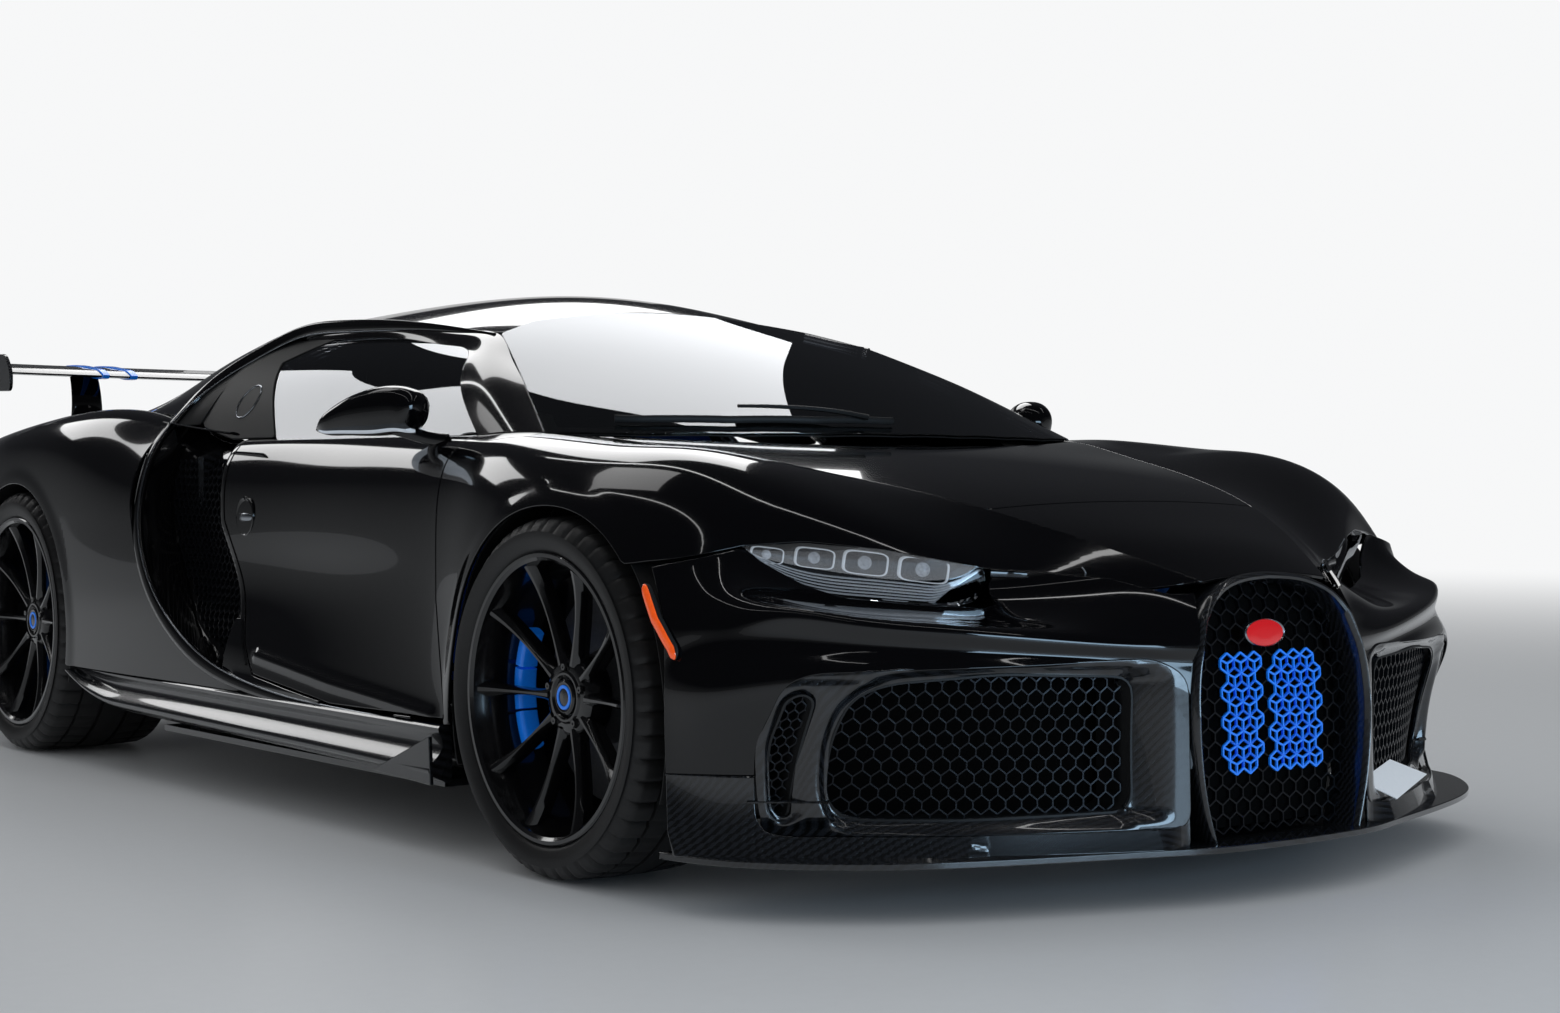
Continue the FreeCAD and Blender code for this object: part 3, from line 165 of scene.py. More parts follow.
def chord_knots(net: Array, axis: int) -> Array:
    """Knots along one direction of a net: running sum of the mean square root of the steps' lengths."""
    steps = np.sqrt(np.linalg.norm(np.diff(net, axis=axis), axis=-1)).mean(axis=1 - axis)
    return np.concatenate([[0.0], np.cumsum(np.maximum(steps, 1e-6))])


def running_length(line: Array) -> Array:
    """Length from a line's first point to each of its points."""
    return np.concatenate([[0.0], np.cumsum(np.linalg.norm(np.diff(line, axis=0), axis=1))])


def even_places(net: Array, axis: int, knots: Array, count: int) -> Array:
    """Parameters that lie evenly by length along the middle line of a net.

    Args:
        net: rows of points.
        axis: 0 from row to row, 1 along a row.
        knots: the net's knots in that direction.
        count: number of parameters.

    Returns:
        The parameters, from the first knot to the last.
    """
    fine = np.linspace(0, knots[-1], 400)
    middle = np.take(net, net.shape[1 - axis] // 2, axis=1 - axis)
    run = running_length(spline_matrix(knots, fine) @ middle)
    return np.interp(np.linspace(0, run[-1], count), run, fine)


def surface(net: Sequence, rows: int, cols: int) -> Array:
    """Smooth surface through a net of points, the same cubic spline along both directions.

    Args:
        net: rows of points (x, y, z).
        rows: number of samples from the first row of the net to the last.
        cols: number of samples across a row.

    Returns:
        Grid of points, rows by cols by 3.
    """
    net = np.asarray(net, float)
    u, v = chord_knots(net, 0), chord_knots(net, 1)
    a = spline_matrix(u, even_places(net, 0, u, rows))
    b = spline_matrix(v, even_places(net, 1, v, cols))
    return np.einsum("ri,ijk,cj->rck", a, net, b)


def evenly(line: Array, count: int, closed: bool = False) -> Array:
    """Points at even lengths along a line.

    Args:
        line: its points.
        count: number of samples.
        closed: whether the line ends where it began, so that its last point is left out.

    Returns:
        The samples.
    """
    run = running_length(line)
    even = np.linspace(0, run[-1], count, endpoint=not closed)
    return np.stack([np.interp(even, run, line[:, i]) for i in range(line.shape[1])], 1)


def curve(points: Sequence, count: int) -> Array:
    """Smooth line through points, a cubic spline sampled evenly by length.

    Args:
        points: two or three coordinates each.
        count: number of samples.

    Returns:
        The samples.
    """
    points = np.asarray(points, float)
    steps = np.sqrt(np.linalg.norm(np.diff(points, axis=0), axis=1))
    knots = np.concatenate([[0.0], np.cumsum(steps)])
    return evenly(spline_matrix(knots, np.linspace(0, knots[-1], 40 * len(points))) @ points, count)


def grid_normals(grid: Array) -> Array:
    """Unit normals of a grid: the cross product of its two central differences."""
    return unit(np.cross(np.gradient(grid, axis=0), np.gradient(grid, axis=1)))


def rounded(outline: Sequence, radius: float, steps: int = 5) -> Array:
    """A closed outline with its corners eased by the parabola (1-t)^2 a + 2t(1-t) corner + t^2 b.

    Args:
        outline: its corners.
        radius: length that a corner takes of each side, at most 0.45 of the side.
        steps: points on each corner.

    Returns:
        The eased outline.
    """
    p = np.asarray(outline, float)
    before, after = np.roll(p, 1, 0) - p, np.roll(p, -1, 0) - p
    shares = [np.minimum(radius / np.linalg.norm(d, axis=1, keepdims=True), 0.45) for d in (before, after)]
    a, b = p + before * shares[0], p + after * shares[1]
    t = np.linspace(0, 1, steps)[None, :, None]
    return ((1 - t) ** 2 * a[:, None] + 2 * t * (1 - t) * p[:, None] + t**2 * b[:, None]).reshape(-1, p.shape[1])


def inside(u: Array, v: Array, outline: Sequence) -> Array:
    """Signed distance of (u, v) to a closed outline, positive inside it.

    Args:
        u: first coordinates, any shape.
        v: second coordinates.
        outline: corners of the outline.

    Returns:
        Distances in the shape of u.
    """
    a = np.asarray(outline, float)
    b = np.roll(a, -1, 0)
    p = np.stack([u.ravel(), v.ravel()], 1)[:, None, :]
    d = b - a
    t = np.clip(((p - a) * d).sum(-1) / (d**2).sum(-1), 0, 1)
    near = np.linalg.norm(p - a - t[..., None] * d, axis=-1).min(1)
    rise = (a[:, 1] > p[..., 1]) != (b[:, 1] > p[..., 1])
    at = a[:, 0] + (p[..., 1] - a[:, 1]) * d[:, 0] / np.where(d[:, 1] == 0, 1e-9, d[:, 1])
    odd = (rise & (p[..., 0] < at)).sum(1) % 2 == 1
    return np.where(odd, near, -near).reshape(u.shape)


def eased(share: Array) -> Array:
    """Smooth step of a share: t^2 (3 - 2t) with t held between 0 and 1."""
    t = np.clip(share, 0, 1)
    return t**2 * (3 - 2 * t)


def whole(grid: Array) -> Shape:
    """All of a grid as one skin with its own normals."""
    return trimmed(grid, np.ones(grid.shape[:2]))


def trimmed(grid: Array, keep: Array) -> Shape:
    """The part of a grid where keep is positive.

    Quads wholly inside stay. A quad that the line crosses is split in two triangles, and each is clipped where keep,
    taken as straight along its edges, passes zero.

    Args:
        grid: rows by cols by 3 points.
        keep: rows by cols, positive where the skin stays.

    Returns:
        The skin with its normals.
    """
    rows, cols = keep.shape
    points, normals = grid.reshape(-1, 3), grid_normals(grid).reshape(-1, 3)
    f = keep.reshape(-1).astype(float)
    f = np.where(np.abs(f) < 0.05, 0.05, f)
    index = np.arange(rows * cols).reshape(rows, cols)
    quads = np.stack([index[:-1, :-1], index[1:, :-1], index[1:, 1:], index[:-1, 1:]], -1).reshape(-1, 4)
    count = (f[quads] > 0).sum(1)
    mixed = quads[(count > 0) & (count < 4)]
    tris = np.concatenate([mixed[:, [0, 1, 2]], mixed[:, [0, 2, 3]]])
    count3 = (f[tris] > 0).sum(1)

    def led_by(some: Array, first: Array) -> Array:
        """Triangles turned so that the chosen corner comes first."""
        return np.take_along_axis(some, (first[:, None] + np.arange(3)) % 3, 1)

    one = led_by(tris[count3 == 1], np.argmax(f[tris[count3 == 1]] > 0, 1))
    two = led_by(tris[count3 == 2], np.argmin(f[tris[count3 == 2]] > 0, 1))
    cuts = np.concatenate([one[:, [0, 1]], one[:, [0, 2]], two[:, [2, 0]], two[:, [0, 1]]])
    edges, place = np.unique(np.sort(cuts, 1), axis=0, return_inverse=True)
    place = place.reshape(-1)
    share = (f[edges[:, 0]] / (f[edges[:, 0]] - f[edges[:, 1]]))[:, None]
    new_points = points[edges[:, 0]] * (1 - share) + points[edges[:, 1]] * share
    new_normals = unit(normals[edges[:, 0]] * (1 - share) + normals[edges[:, 1]] * share)
    base = rows * cols
    n1, n2 = len(one), len(two)
    cut = base + place
    tri_out = np.concatenate([tris[count3 == 3], np.stack([one[:, 0], cut[:n1], cut[n1:2 * n1]], 1)])
    two_quads = np.stack([two[:, 1], two[:, 2], cut[2 * n1:2 * n1 + n2], cut[2 * n1 + n2:]], 1)
    quad_out = np.concatenate([quads[count == 4], two_quads])
    used = np.unique(np.concatenate([tri_out.ravel(), quad_out.ravel()]))
    number = np.full(base + len(edges), -1)
    number[used] = np.arange(len(used))
    all_points = np.concatenate([points, new_points])[used]
    all_normals = np.concatenate([normals, new_normals])[used]
    return Shape(all_points, number[tri_out], number[quad_out], [], all_normals)


def panel(skin: Shape, wall: float, roll: float = 2.0, steps: int = 3) -> Shape:
    """Gives a skin its wall: rolled edges, a return and an inner side.

    With t the outward direction in the skin and n its normal, the edge runs through
    b + r sin(a) t - r (1 - cos(a)) n up to a quarter turn, then straight in to the inner side at the wall's depth.

    Args:
        skin: trimmed skin with normals.
        wall: its thickness.
        roll: radius of the rolled edge.
        steps: rings on the roll.

    Returns:
        A closed shape with normals.
    """
    p, n = skin.points, skin.normals
    size = len(p)
    edges = np.concatenate([faces[:, [i, (i + 1) % faces.shape[1]]]
                            for faces in (skin.tris, skin.quads) for i in range(faces.shape[1])])
    lone = edges[~np.isin(edges[:, 0] * size + edges[:, 1], edges[:, 1] * size + edges[:, 0])]
    out = unit(np.cross(p[lone[:, 1]] - p[lone[:, 0]], n[lone[:, 0]] + n[lone[:, 1]]))
    side = np.zeros_like(p)
    np.add.at(side, lone[:, 0], out)
    np.add.at(side, lone[:, 1], out)
    rim = np.unique(lone)
    t = unit(side[rim])
    slot_of = np.full(size, -1)
    slot_of[rim] = np.arange(len(rim))
    i, j = lone[:, 0], lone[:, 1]
    si, sj = slot_of[i], slot_of[j]
    points, normals, walls = [p], [n], []
    last_i, last_j = i, j
    start = size
    for k in range(1, steps + 2):
        turn = math.pi / 2 * min(k, steps) / steps
        ring = p[rim] + roll * math.sin(turn) * t - roll * (1 - math.cos(turn)) * n[rim]
        if k == steps + 1:
            ring = ring - (wall - roll) * n[rim]
        points.append(ring)
        normals.append(unit(math.cos(turn) * n[rim] + math.sin(turn) * t))
        walls.append(np.stack([last_i, start + si, start + sj, last_j], 1))
        last_i, last_j = start + si, start + sj
        start += len(rim)
    points.append(p - wall * n)
    normals.append(-n)
    walls.append(np.stack([last_i, start + i, start + j, last_j], 1))
    tris = np.concatenate([skin.tris, skin.tris[:, ::-1] + start])
    quads = np.concatenate([skin.quads] + walls + [skin.quads[:, ::-1] + start])
    return Shape(np.concatenate(points), tris, quads, [], np.concatenate(normals))


class Facing(Enum):
    """Which way a skin's outer face looks: the axis of its normals and their sign."""

    LEFT = (0, 1.0)
    AHEAD = (1, -1.0)
    BACK = (1, 1.0)
    UP = (2, 1.0)


def faced(skin: Shape, facing: Facing) -> Shape:
    """A skin turned so that its normals on the whole look one way."""
    axis, sign = facing.value
    return skin if skin.normals[:, axis].mean() * sign > 0 else skin.flipped()


def cut(grid: Array, keep: Optional[Array], facing: Facing, wall: float, roll: float = 2.0) -> Shape:
    """A panel cut from a surface.

    Args:
        grid: rows by cols by 3 points.
        keep: positive where the panel stays, all of the grid if None.
        facing: where its outer face looks.
        wall: its thickness.
        roll: radius of its edges.

    Returns:
        The closed panel with normals.
    """
    return panel(faced(whole(grid) if keep is None else trimmed(grid, keep), facing), wall, roll)


def common(*fields: Array) -> Array:
    """The smallest of several signed distances, positive only where all of them are."""
    return np.minimum.reduce(np.broadcast_arrays(*fields))


def front_points(points: Array, y: Array) -> Array:
    """Front-view (x, z) points set at a depth y."""
    return np.stack(np.broadcast_arrays(points[..., 0], y, points[..., 1]), -1).astype(float)


def side_points(points: Array, x: Array) -> Array:
    """Side-view (y, z) points set at a width x."""
    return np.stack(np.broadcast_arrays(x, points[..., 0], points[..., 1]), -1).astype(float)


def tube(sections: Array, ring: bool = False) -> Shape:
    """Closed shape through closed sections, capped at its ends or joined to a ring.

    Args:
        sections: sections by points by 3.
        ring: whether the last section meets the first.

    Returns:
        The shape, faces outwards.
    """
    n, m = sections.shape[:2]
    index = np.arange(n * m).reshape(n, m)
    low = index if ring else index[:-1]
    high = np.roll(index, -1, 0) if ring else index[1:]
    quads = np.stack([low, high, np.roll(high, -1, 1), np.roll(low, -1, 1)], -1).reshape(-1, 4)
    caps = [] if ring else [index[0].tolist(), index[-1, ::-1].tolist()]
    return Shape(sections.reshape(-1, 3), quads=quads, caps=caps).outward()


def sweep(path: Array, section: Array, up: Sequence[float] = (0, 0, 1), size: Optional[Array] = None,
          ring: bool = False) -> Shape:
    """A section carried along a path: its point (a, b) lies a along the side direction, tangent x up, and b along the
    direction square to both.

    Args:
        path: points of the path.
        section: closed outline of (a, b) points.
        up: the direction that the section's b keeps to.
        size: scale of the section at each path point, one or two numbers each.
        ring: whether the path closes.

    Returns:
        The closed shape.
    """
    path = np.asarray(path, float)
    ahead = np.roll(path, -1, 0) - np.roll(path, 1, 0) if ring else np.gradient(path, axis=0)
    tangent = unit(ahead)
    across = unit(np.cross(tangent, np.asarray(up, float)))
    top = np.cross(across, tangent)
    scale = np.ones((len(path), 2)) if size is None else np.asarray(size, float).reshape(len(path), -1) * np.ones(2)
    a = section[None, :, 0] * scale[:, :1]
    b = section[None, :, 1] * scale[:, 1:]
    return tube(path[:, None] + a[..., None] * across[:, None] + b[..., None] * top[:, None], ring)


def hoop(loops: Sequence) -> Shape:
    """Ring through closed loops, the last joined to the first."""
    return tube(np.stack(loops), True)


def oval(width: float, height: float, count: int = 12, power: float = 2.0) -> Array:
    """Outline |2a/width|^p + |2b/height|^p = 1: an ellipse at power 2, squarer above it.

    Args:
        width: its width.
        height: its height.
        count: number of points.
        power: p.

    Returns:
        The points (a, b).
    """
    t = np.linspace(0, 2 * math.pi, count, endpoint=False)
    ends = np.stack([np.cos(t), np.sin(t)], 1)
    return np.array([width / 2, height / 2]) * np.sign(ends) * np.abs(ends) ** (2 / power)


def rods(lines: Array, facing: Sequence[float], width: float, depth: float) -> Shape:
    """Flat bars along pairs of points, all at once.

    Args:
        lines: pairs of ends, n by 2 by 3.
        facing: direction that the flat side looks to.
        width: size across that direction.
        depth: size along it.

    Returns:
        The bars.
    """
    starts, ends = lines[:, 0], lines[:, 1]
    facing = np.array([facing], float)
    along = unit(ends - starts)
    front = unit(facing - (facing * along).sum(-1, keepdims=True) * along)
    side, front = np.cross(along, front) * width / 2, front * depth / 2
    corners = [end + a * side + b * front for end in (starts, ends) for a, b in ((-1, -1), (1, -1), (1, 1), (-1, 1))]
    box = np.array([[0, 3, 2, 1], [4, 5, 6, 7], [0, 1, 5, 4], [1, 2, 6, 5], [2, 3, 7, 6], [3, 0, 4, 7]])
    quads = (8 * np.arange(len(starts))[:, None, None] + box).reshape(-1, 4)
    return Shape(np.stack(corners, 1).reshape(-1, 3), quads=quads).outward()


def honeycomb(width: float, rise: float, wall: float, box: Sequence[float]) -> Array:
    """Edges of a honeycomb with upright walls: cell (i, j) is centred on ((i + (j mod 2) / 2) width, j rise).

    Args:
        width: width of a cell.
        rise: height from row to row.
        wall: length of the upright walls.
        box: lowest u, highest u, lowest v and highest v to cover.

    Returns:
        Pairs of line ends, n by 2 by 2.
    """
    across = np.arange(box[0] // width - 1, box[1] // width + 2)
    i, j = np.meshgrid(across, np.arange(box[2] // rise - 1, box[3] // rise + 2))
    centre = np.stack([(i + 0.5 * (j % 2)) * width, j * rise], -1).reshape(-1, 1, 1, 2)
    a, b = width / 2, wall / 2
    cell = np.array([[(-a, -b), (-a, b)], [(-a, b), (0, rise - b)], [(0, rise - b), (a, b)]])
    return (centre + cell).reshape(-1, 2, 2)


def within(lines: Array, outline: Array, margin: float) -> Array:
    """The line pairs whose ends both lie over a margin inside an outline."""
    return lines[inside(lines[..., 0], lines[..., 1], outline).min(1) > margin]


def inset(outline: Array, by: float) -> Array:
    """A closed outline moved inwards along its normals.

    Args:
        outline: its points.
        by: the distance, negative outwards.

    Returns:
        The moved outline.
    """
    p = np.asarray(outline, float)
    ahead = unit(np.roll(p, -1, 0) - np.roll(p, 1, 0))
    area = (p[:, 0] * np.roll(p[:, 1], -1) - np.roll(p[:, 0], -1) * p[:, 1]).sum()
    return p + np.stack([-ahead[:, 1], ahead[:, 0]], 1) * by * np.sign(area)


def even_loop(outline: Sequence, count: int) -> Array:
    """A closed outline sampled evenly by length."""
    p = np.asarray(outline, float)
    return evenly(np.concatenate([p, p[:1]]), count, True)


def on_grid(grid: Array, axis: int, first: Sequence, second: Sequence) -> Array:
    """Coordinate of a grid's surface along one axis, over points given by the two others.

    It is the tangent plane's at the nearest grid point: c = c0 - (n_a (a - a0) + n_b (b - b0)) / n_c.

    Args:
        grid: rows by cols by 3 points.
        axis: the coordinate wanted.
        first: the first of the two other coordinates, in the order x, y, z.
        second: the second one.

    Returns:
        The coordinates, in the shape of first.
    """
    i, j = [k for k in range(3) if k != axis]
    points, normals = grid.reshape(-1, 3), grid_normals(grid).reshape(-1, 3)
    a, b = np.broadcast_arrays(np.asarray(first, float), np.asarray(second, float))
    flat_a, flat_b = a.ravel(), b.ravel()
    pieces = []
    for start in range(0, len(flat_a), 400):
        u, v = flat_a[start:start + 400, None], flat_b[start:start + 400, None]
        near = ((u - points[None, :, i]) ** 2 + (v - points[None, :, j]) ** 2).argmin(1)
        p, n = points[near], normals[near]
        lean = n[:, i] * (u[:, 0] - p[:, i]) + n[:, j] * (v[:, 0] - p[:, j])
        slope = np.where(np.abs(n[:, axis]) < 0.15, 0.15 * np.sign(n[:, axis] + 1e-9), n[:, axis])
        pieces.append(p[:, axis] - lean / slope)
    return np.concatenate(pieces).reshape(a.shape)


def at_share(grid: Array, s: Array, t: Array) -> Array:
    """Points of a grid by straight lines between its samples.

    Args:
        grid: rows by cols by 3 points.
        s: shares of the way along the rows.
        t: shares of the way along the columns.

    Returns:
        The points.
    """
    rows, cols = grid.shape[:2]
    a, b = np.clip(np.asarray(s, float), 0, 1) * (rows - 1), np.clip(np.asarray(t, float), 0, 1) * (cols - 1)
    i, j = np.minimum(a.astype(int), rows - 2), np.minimum(b.astype(int), cols - 2)
    a, b = (a - i)[..., None], (b - j)[..., None]
    near = grid[i, j] * (1 - a) + grid[i + 1, j] * a
    return near * (1 - b) + (grid[i, j + 1] * (1 - a) + grid[i + 1, j + 1] * a) * b


def set_up(shape: Shape, centre: Sequence[float], first: Sequence[float], out: Sequence[float]) -> Shape:
    """A shape drawn round the origin, its Z outwards, set at a centre.

    Args:
        shape: the shape.
        centre: where its origin goes.
        first: direction that its X takes, as near as it can square to out.
        out: direction that its Z takes.

    Returns:
        The placed shape.
    """
    z = unit(np.asarray(out, float))
    x = np.asarray(first, float)
    x = unit(x - (x @ z) * z)
    turn = np.stack([x, np.cross(z, x), z])
    normals = None if shape.normals is None else shape.normals @ turn
    return Shape(shape.points @ turn + np.asarray(centre, float), shape.tris, shape.quads, shape.caps, normals)


def dish(outline: Array, levels: Sequence) -> Shape:
    """Closed shape of one outline at several levels: each is (scale, z)."""
    loops = [np.column_stack([outline * scale, np.full(len(outline), z)]) for scale, z in levels]
    return tube(np.stack(loops))


def ridged(grid: Array, line: Sequence, height: float, width: float) -> Array:
    """Raises a ridge on a side surface: x grows by height exp(-(d / width)^2), d the distance to a side-view line.

    Args:
        grid: rows by cols by 3 points.
        line: (y, z) points of the line.
        height: height of the ridge.
        width: its half width.

    Returns:
        The raised grid.
    """
    out = grid.copy()
    a, b = np.asarray(line[:-1], float), np.asarray(line[1:], float)
    p = grid[..., None, 1:]
    t = np.clip(((p - a) * (b - a)).sum(-1) / ((b - a) ** 2).sum(-1), 0, 1)
    away = np.linalg.norm(p - a - t[..., None] * (b - a), axis=-1).min(-1)
    out[..., 0] += height * np.exp(-(away / width) ** 2)
    return out


def turned(profile: Sequence, steps: int = 96) -> Shape:
    """A closed profile turned about the X axis.

    Args:
        profile: (x, radius) points.
        steps: sections in a full turn.

    Returns:
        The ring.
    """
    p = np.asarray(profile, float)
    t = np.linspace(0, 2 * math.pi, steps, endpoint=False)[:, None]
    x = np.broadcast_to(p[None, :, 0], (steps, len(p)))
    return tube(np.stack([x, p[None, :, 1] * np.cos(t), p[None, :, 1] * np.sin(t)], -1), ring=True)


def spun(shape: Shape, angle: float) -> Shape:
    """A shape turned about the X axis.

    Args:
        shape: the shape.
        angle: in degrees.

    Returns:
        The turned shape.
    """
    c, s = math.cos(math.radians(angle)), math.sin(math.radians(angle))
    turn = np.array([[1, 0, 0], [0, c, -s], [0, s, c]])
    normals = None if shape.normals is None else shape.normals @ turn.T
    return Shape(shape.points @ turn.T, shape.tris, shape.quads, shape.caps, normals)


def plate(outline: Array, by: Sequence[float]) -> Shape:
    """A flat outline of 3D points carried along a vector into a plate."""
    return tube(np.stack([outline, outline + np.asarray(by, float)]))


def side_plate(outline: Sequence, x0: float, x1: float) -> Shape:
    """A side-view outline of (y, z) points as a plate from x0 to x1."""
    return plate(side_points(np.asarray(outline, float), x0), (x1 - x0, 0, 0))


def linear(code: str) -> tuple:
    """An sRGB hex colour as linear red, green, blue and alpha."""
    parts = [int(code[i:i + 2], 16) / 255 for i in (1, 3, 5)]
    return tuple(c / 12.92 if c <= 0.04045 else ((c + 0.055) / 1.055) ** 2.4 for c in parts) + (1.0,)


def add_node(tree: bpy.types.NodeTree, kind: str, sockets: Optional[dict] = None,
             **settings: object) -> bpy.types.Node:
    """Adds one shader node.

    Args:
        tree: node tree of the material.
        kind: the node's type name.
        sockets: values or output sockets for its inputs, by name or number.
        settings: the node's own properties.

    Returns:
        The node.
    """
    made = tree.nodes.new(kind)
    for key, value in settings.items():
        setattr(made, key, value)
    for key, value in (sockets or {}).items():
        if isinstance(value, bpy.types.NodeSocket):
            tree.links.new(value, made.inputs[key])
        else:
            made.inputs[key].default_value = value
    return made


@dataclass(frozen=True)
class Finish:
    """Plain moulded or painted surface with a fine grain: the base of every finish.

    Attributes:
        name: the finish's name.
        colour: sRGB hex of the surface.
        shade: sRGB hex that the grain mixes in.
        roughness: of the shader.
        metallic: of the shader.
        coat: weight of a clear coat.
        grain: size of the grain in millimetres.
        bump: height of the grain in millimetres.
        glow: strength of the light it gives off: lamp light on the lit tail lamp, painted light on every other finish
            that has it.
        specular: level of the mirror at right angles.
    """

    name: str
    colour: str
    shade: str
    roughness: float = 0.4
    metallic: float = 0.0
    coat: float = 0.0
    grain: float = 4.0
    bump: float = 0.05
    glow: float = 0.0
    specular: float = 0.5

    def pattern(self, tree: bpy.types.NodeTree, where: bpy.types.NodeSocket) -> tuple:
        """Share of the second colour and height of the relief: soft noise at the grain's size.

        Args:
            tree: node tree of the material.
            where: socket of the Object coordinates.

        Returns:
            Two sockets, the share and the height.
        """
        noise = add_node(tree, "ShaderNodeTexNoise", {"Vector": where, "Scale": 1000.0 / self.grain, "Detail": 3.0})
        return noise.outputs["Fac"], noise.outputs["Fac"]

    def material(self) -> bpy.types.Material:
        """The finish as a material on Object coordinates.

        Returns:
            The new material.
        """
        made = bpy.data.materials.new(self.name)
        made.use_nodes = True
        tree = made.node_tree
        tree.nodes.clear()
        where = add_node(tree, "ShaderNodeTexCoord").outputs["Object"]
        share, height = self.pattern(tree, where)
        blend = add_node(tree, "ShaderNodeMixRGB", {0: share, 1: linear(self.colour), 2: linear(self.shade)})
        relief = add_node(tree, "ShaderNodeBump", {"Height": height, "Distance": self.bump * MM, "Strength": 1.0})
        shader = add_node(tree, "ShaderNodeBsdfPrincipled", {
            "Base Color": blend.outputs[0], "Roughness": self.roughness, "Metallic": self.metallic,
            "Coat Weight": self.coat, "Coat Roughness": 0.03, "Specular IOR Level": self.specular,
            "Normal": relief.outputs[0]})
        # Emission: the tail lamp's own light, and painted light on every other finish with a glow.
        if self.glow:
            tree.links.new(blend.outputs[0], shader.inputs["Emission Color"])
            shader.inputs["Emission Strength"].default_value = self.glow
        add_node(tree, "ShaderNodeOutputMaterial", {"Surface": self.finished(tree, shader)})
        return made

    def finished(self, tree: bpy.types.NodeTree, shader: bpy.types.Node) -> bpy.types.NodeSocket:
        """The surface that is put out: the shader's own on a plain finish."""
        return shader.outputs[0]


@dataclass(frozen=True)
class Twill(Finish):
    """Lacquered carbon cloth in a two-by-two twill.

    Attributes:
        tow: width of a yarn in millimetres, a little over the real 2 to 3 so that the weave shows.
    """

    tow: float = 4.5

    def pattern(self, tree: bpy.types.NodeTree, where: bpy.types.NodeSocket) -> tuple:
        """Yarn across is on top where (i + j) mod 4 < 2, and the relief is the top yarn's half round.

        Args:
            tree: node tree of the material.
            where: socket of the Object coordinates.

        Returns:
            Two sockets, the share of the grey yarn and the height.
        """
        parts = add_node(tree, "ShaderNodeSeparateXYZ", {0: where})
        x, y, z = parts.outputs

        def calc(kind: str, a: object, b: object = 0.0) -> bpy.types.NodeSocket:
            """One arithmetic step."""
            return add_node(tree, "ShaderNodeMath", {0: a, 1: b}, operation=kind).outputs[0]

        scale = 1000.0 / self.tow
        u = calc("MULTIPLY", calc("ADD", x, y), scale)
        v = calc("MULTIPLY", calc("ADD", z, calc("MULTIPLY", calc("SUBTRACT", y, x), 0.7)), scale)
        step = calc("ADD", calc("FLOOR", u), calc("FLOOR", v))
        over = calc("LESS_THAN", calc("MODULO", calc("ADD", calc("MODULO", step, 4.0), 4.0), 4.0), 2.0)
        ridge_u = calc("ABSOLUTE", calc("SINE", calc("MULTIPLY", u, math.pi)))
        ridge_v = calc("ABSOLUTE", calc("SINE", calc("MULTIPLY", v, math.pi)))
        height = calc("ADD", calc("MULTIPLY", over, ridge_u), calc("MULTIPLY", calc("SUBTRACT", 1.0, over), ridge_v))
        return over, height


@dataclass(frozen=True)
class ClearGlass(Finish):
    """Tinted car glass.

    Attributes:
        clearness: share of the light that passes straight through where the pane doesn't mirror.
    """

    clearness: float = 0.75

    def finished(self, tree: bpy.types.NodeTree, shader: bpy.types.Node) -> bpy.types.NodeSocket:
        """Lets light through by alpha, so that the thin pane doesn't bend it, and mirrors by the Fresnel share.

        Args:
            tree: node tree of the material.
            shader: the plain finish's shader.

        Returns:
            The mixed surface.
        """
        shader.inputs["Alpha"].default_value = 1.0 - self.clearness
        share = add_node(tree, "ShaderNodeFresnel", {"IOR": 2.2})
        mirror = add_node(tree, "ShaderNodeBsdfGlossy", {"Color": (0.95, 0.97, 1.0, 1), "Roughness": self.roughness})
        mixed = add_node(tree, "ShaderNodeMixShader", {0: share.outputs[0], 1: shader.outputs[0], 2: mirror.outputs[0]})
        return mixed.outputs[0]


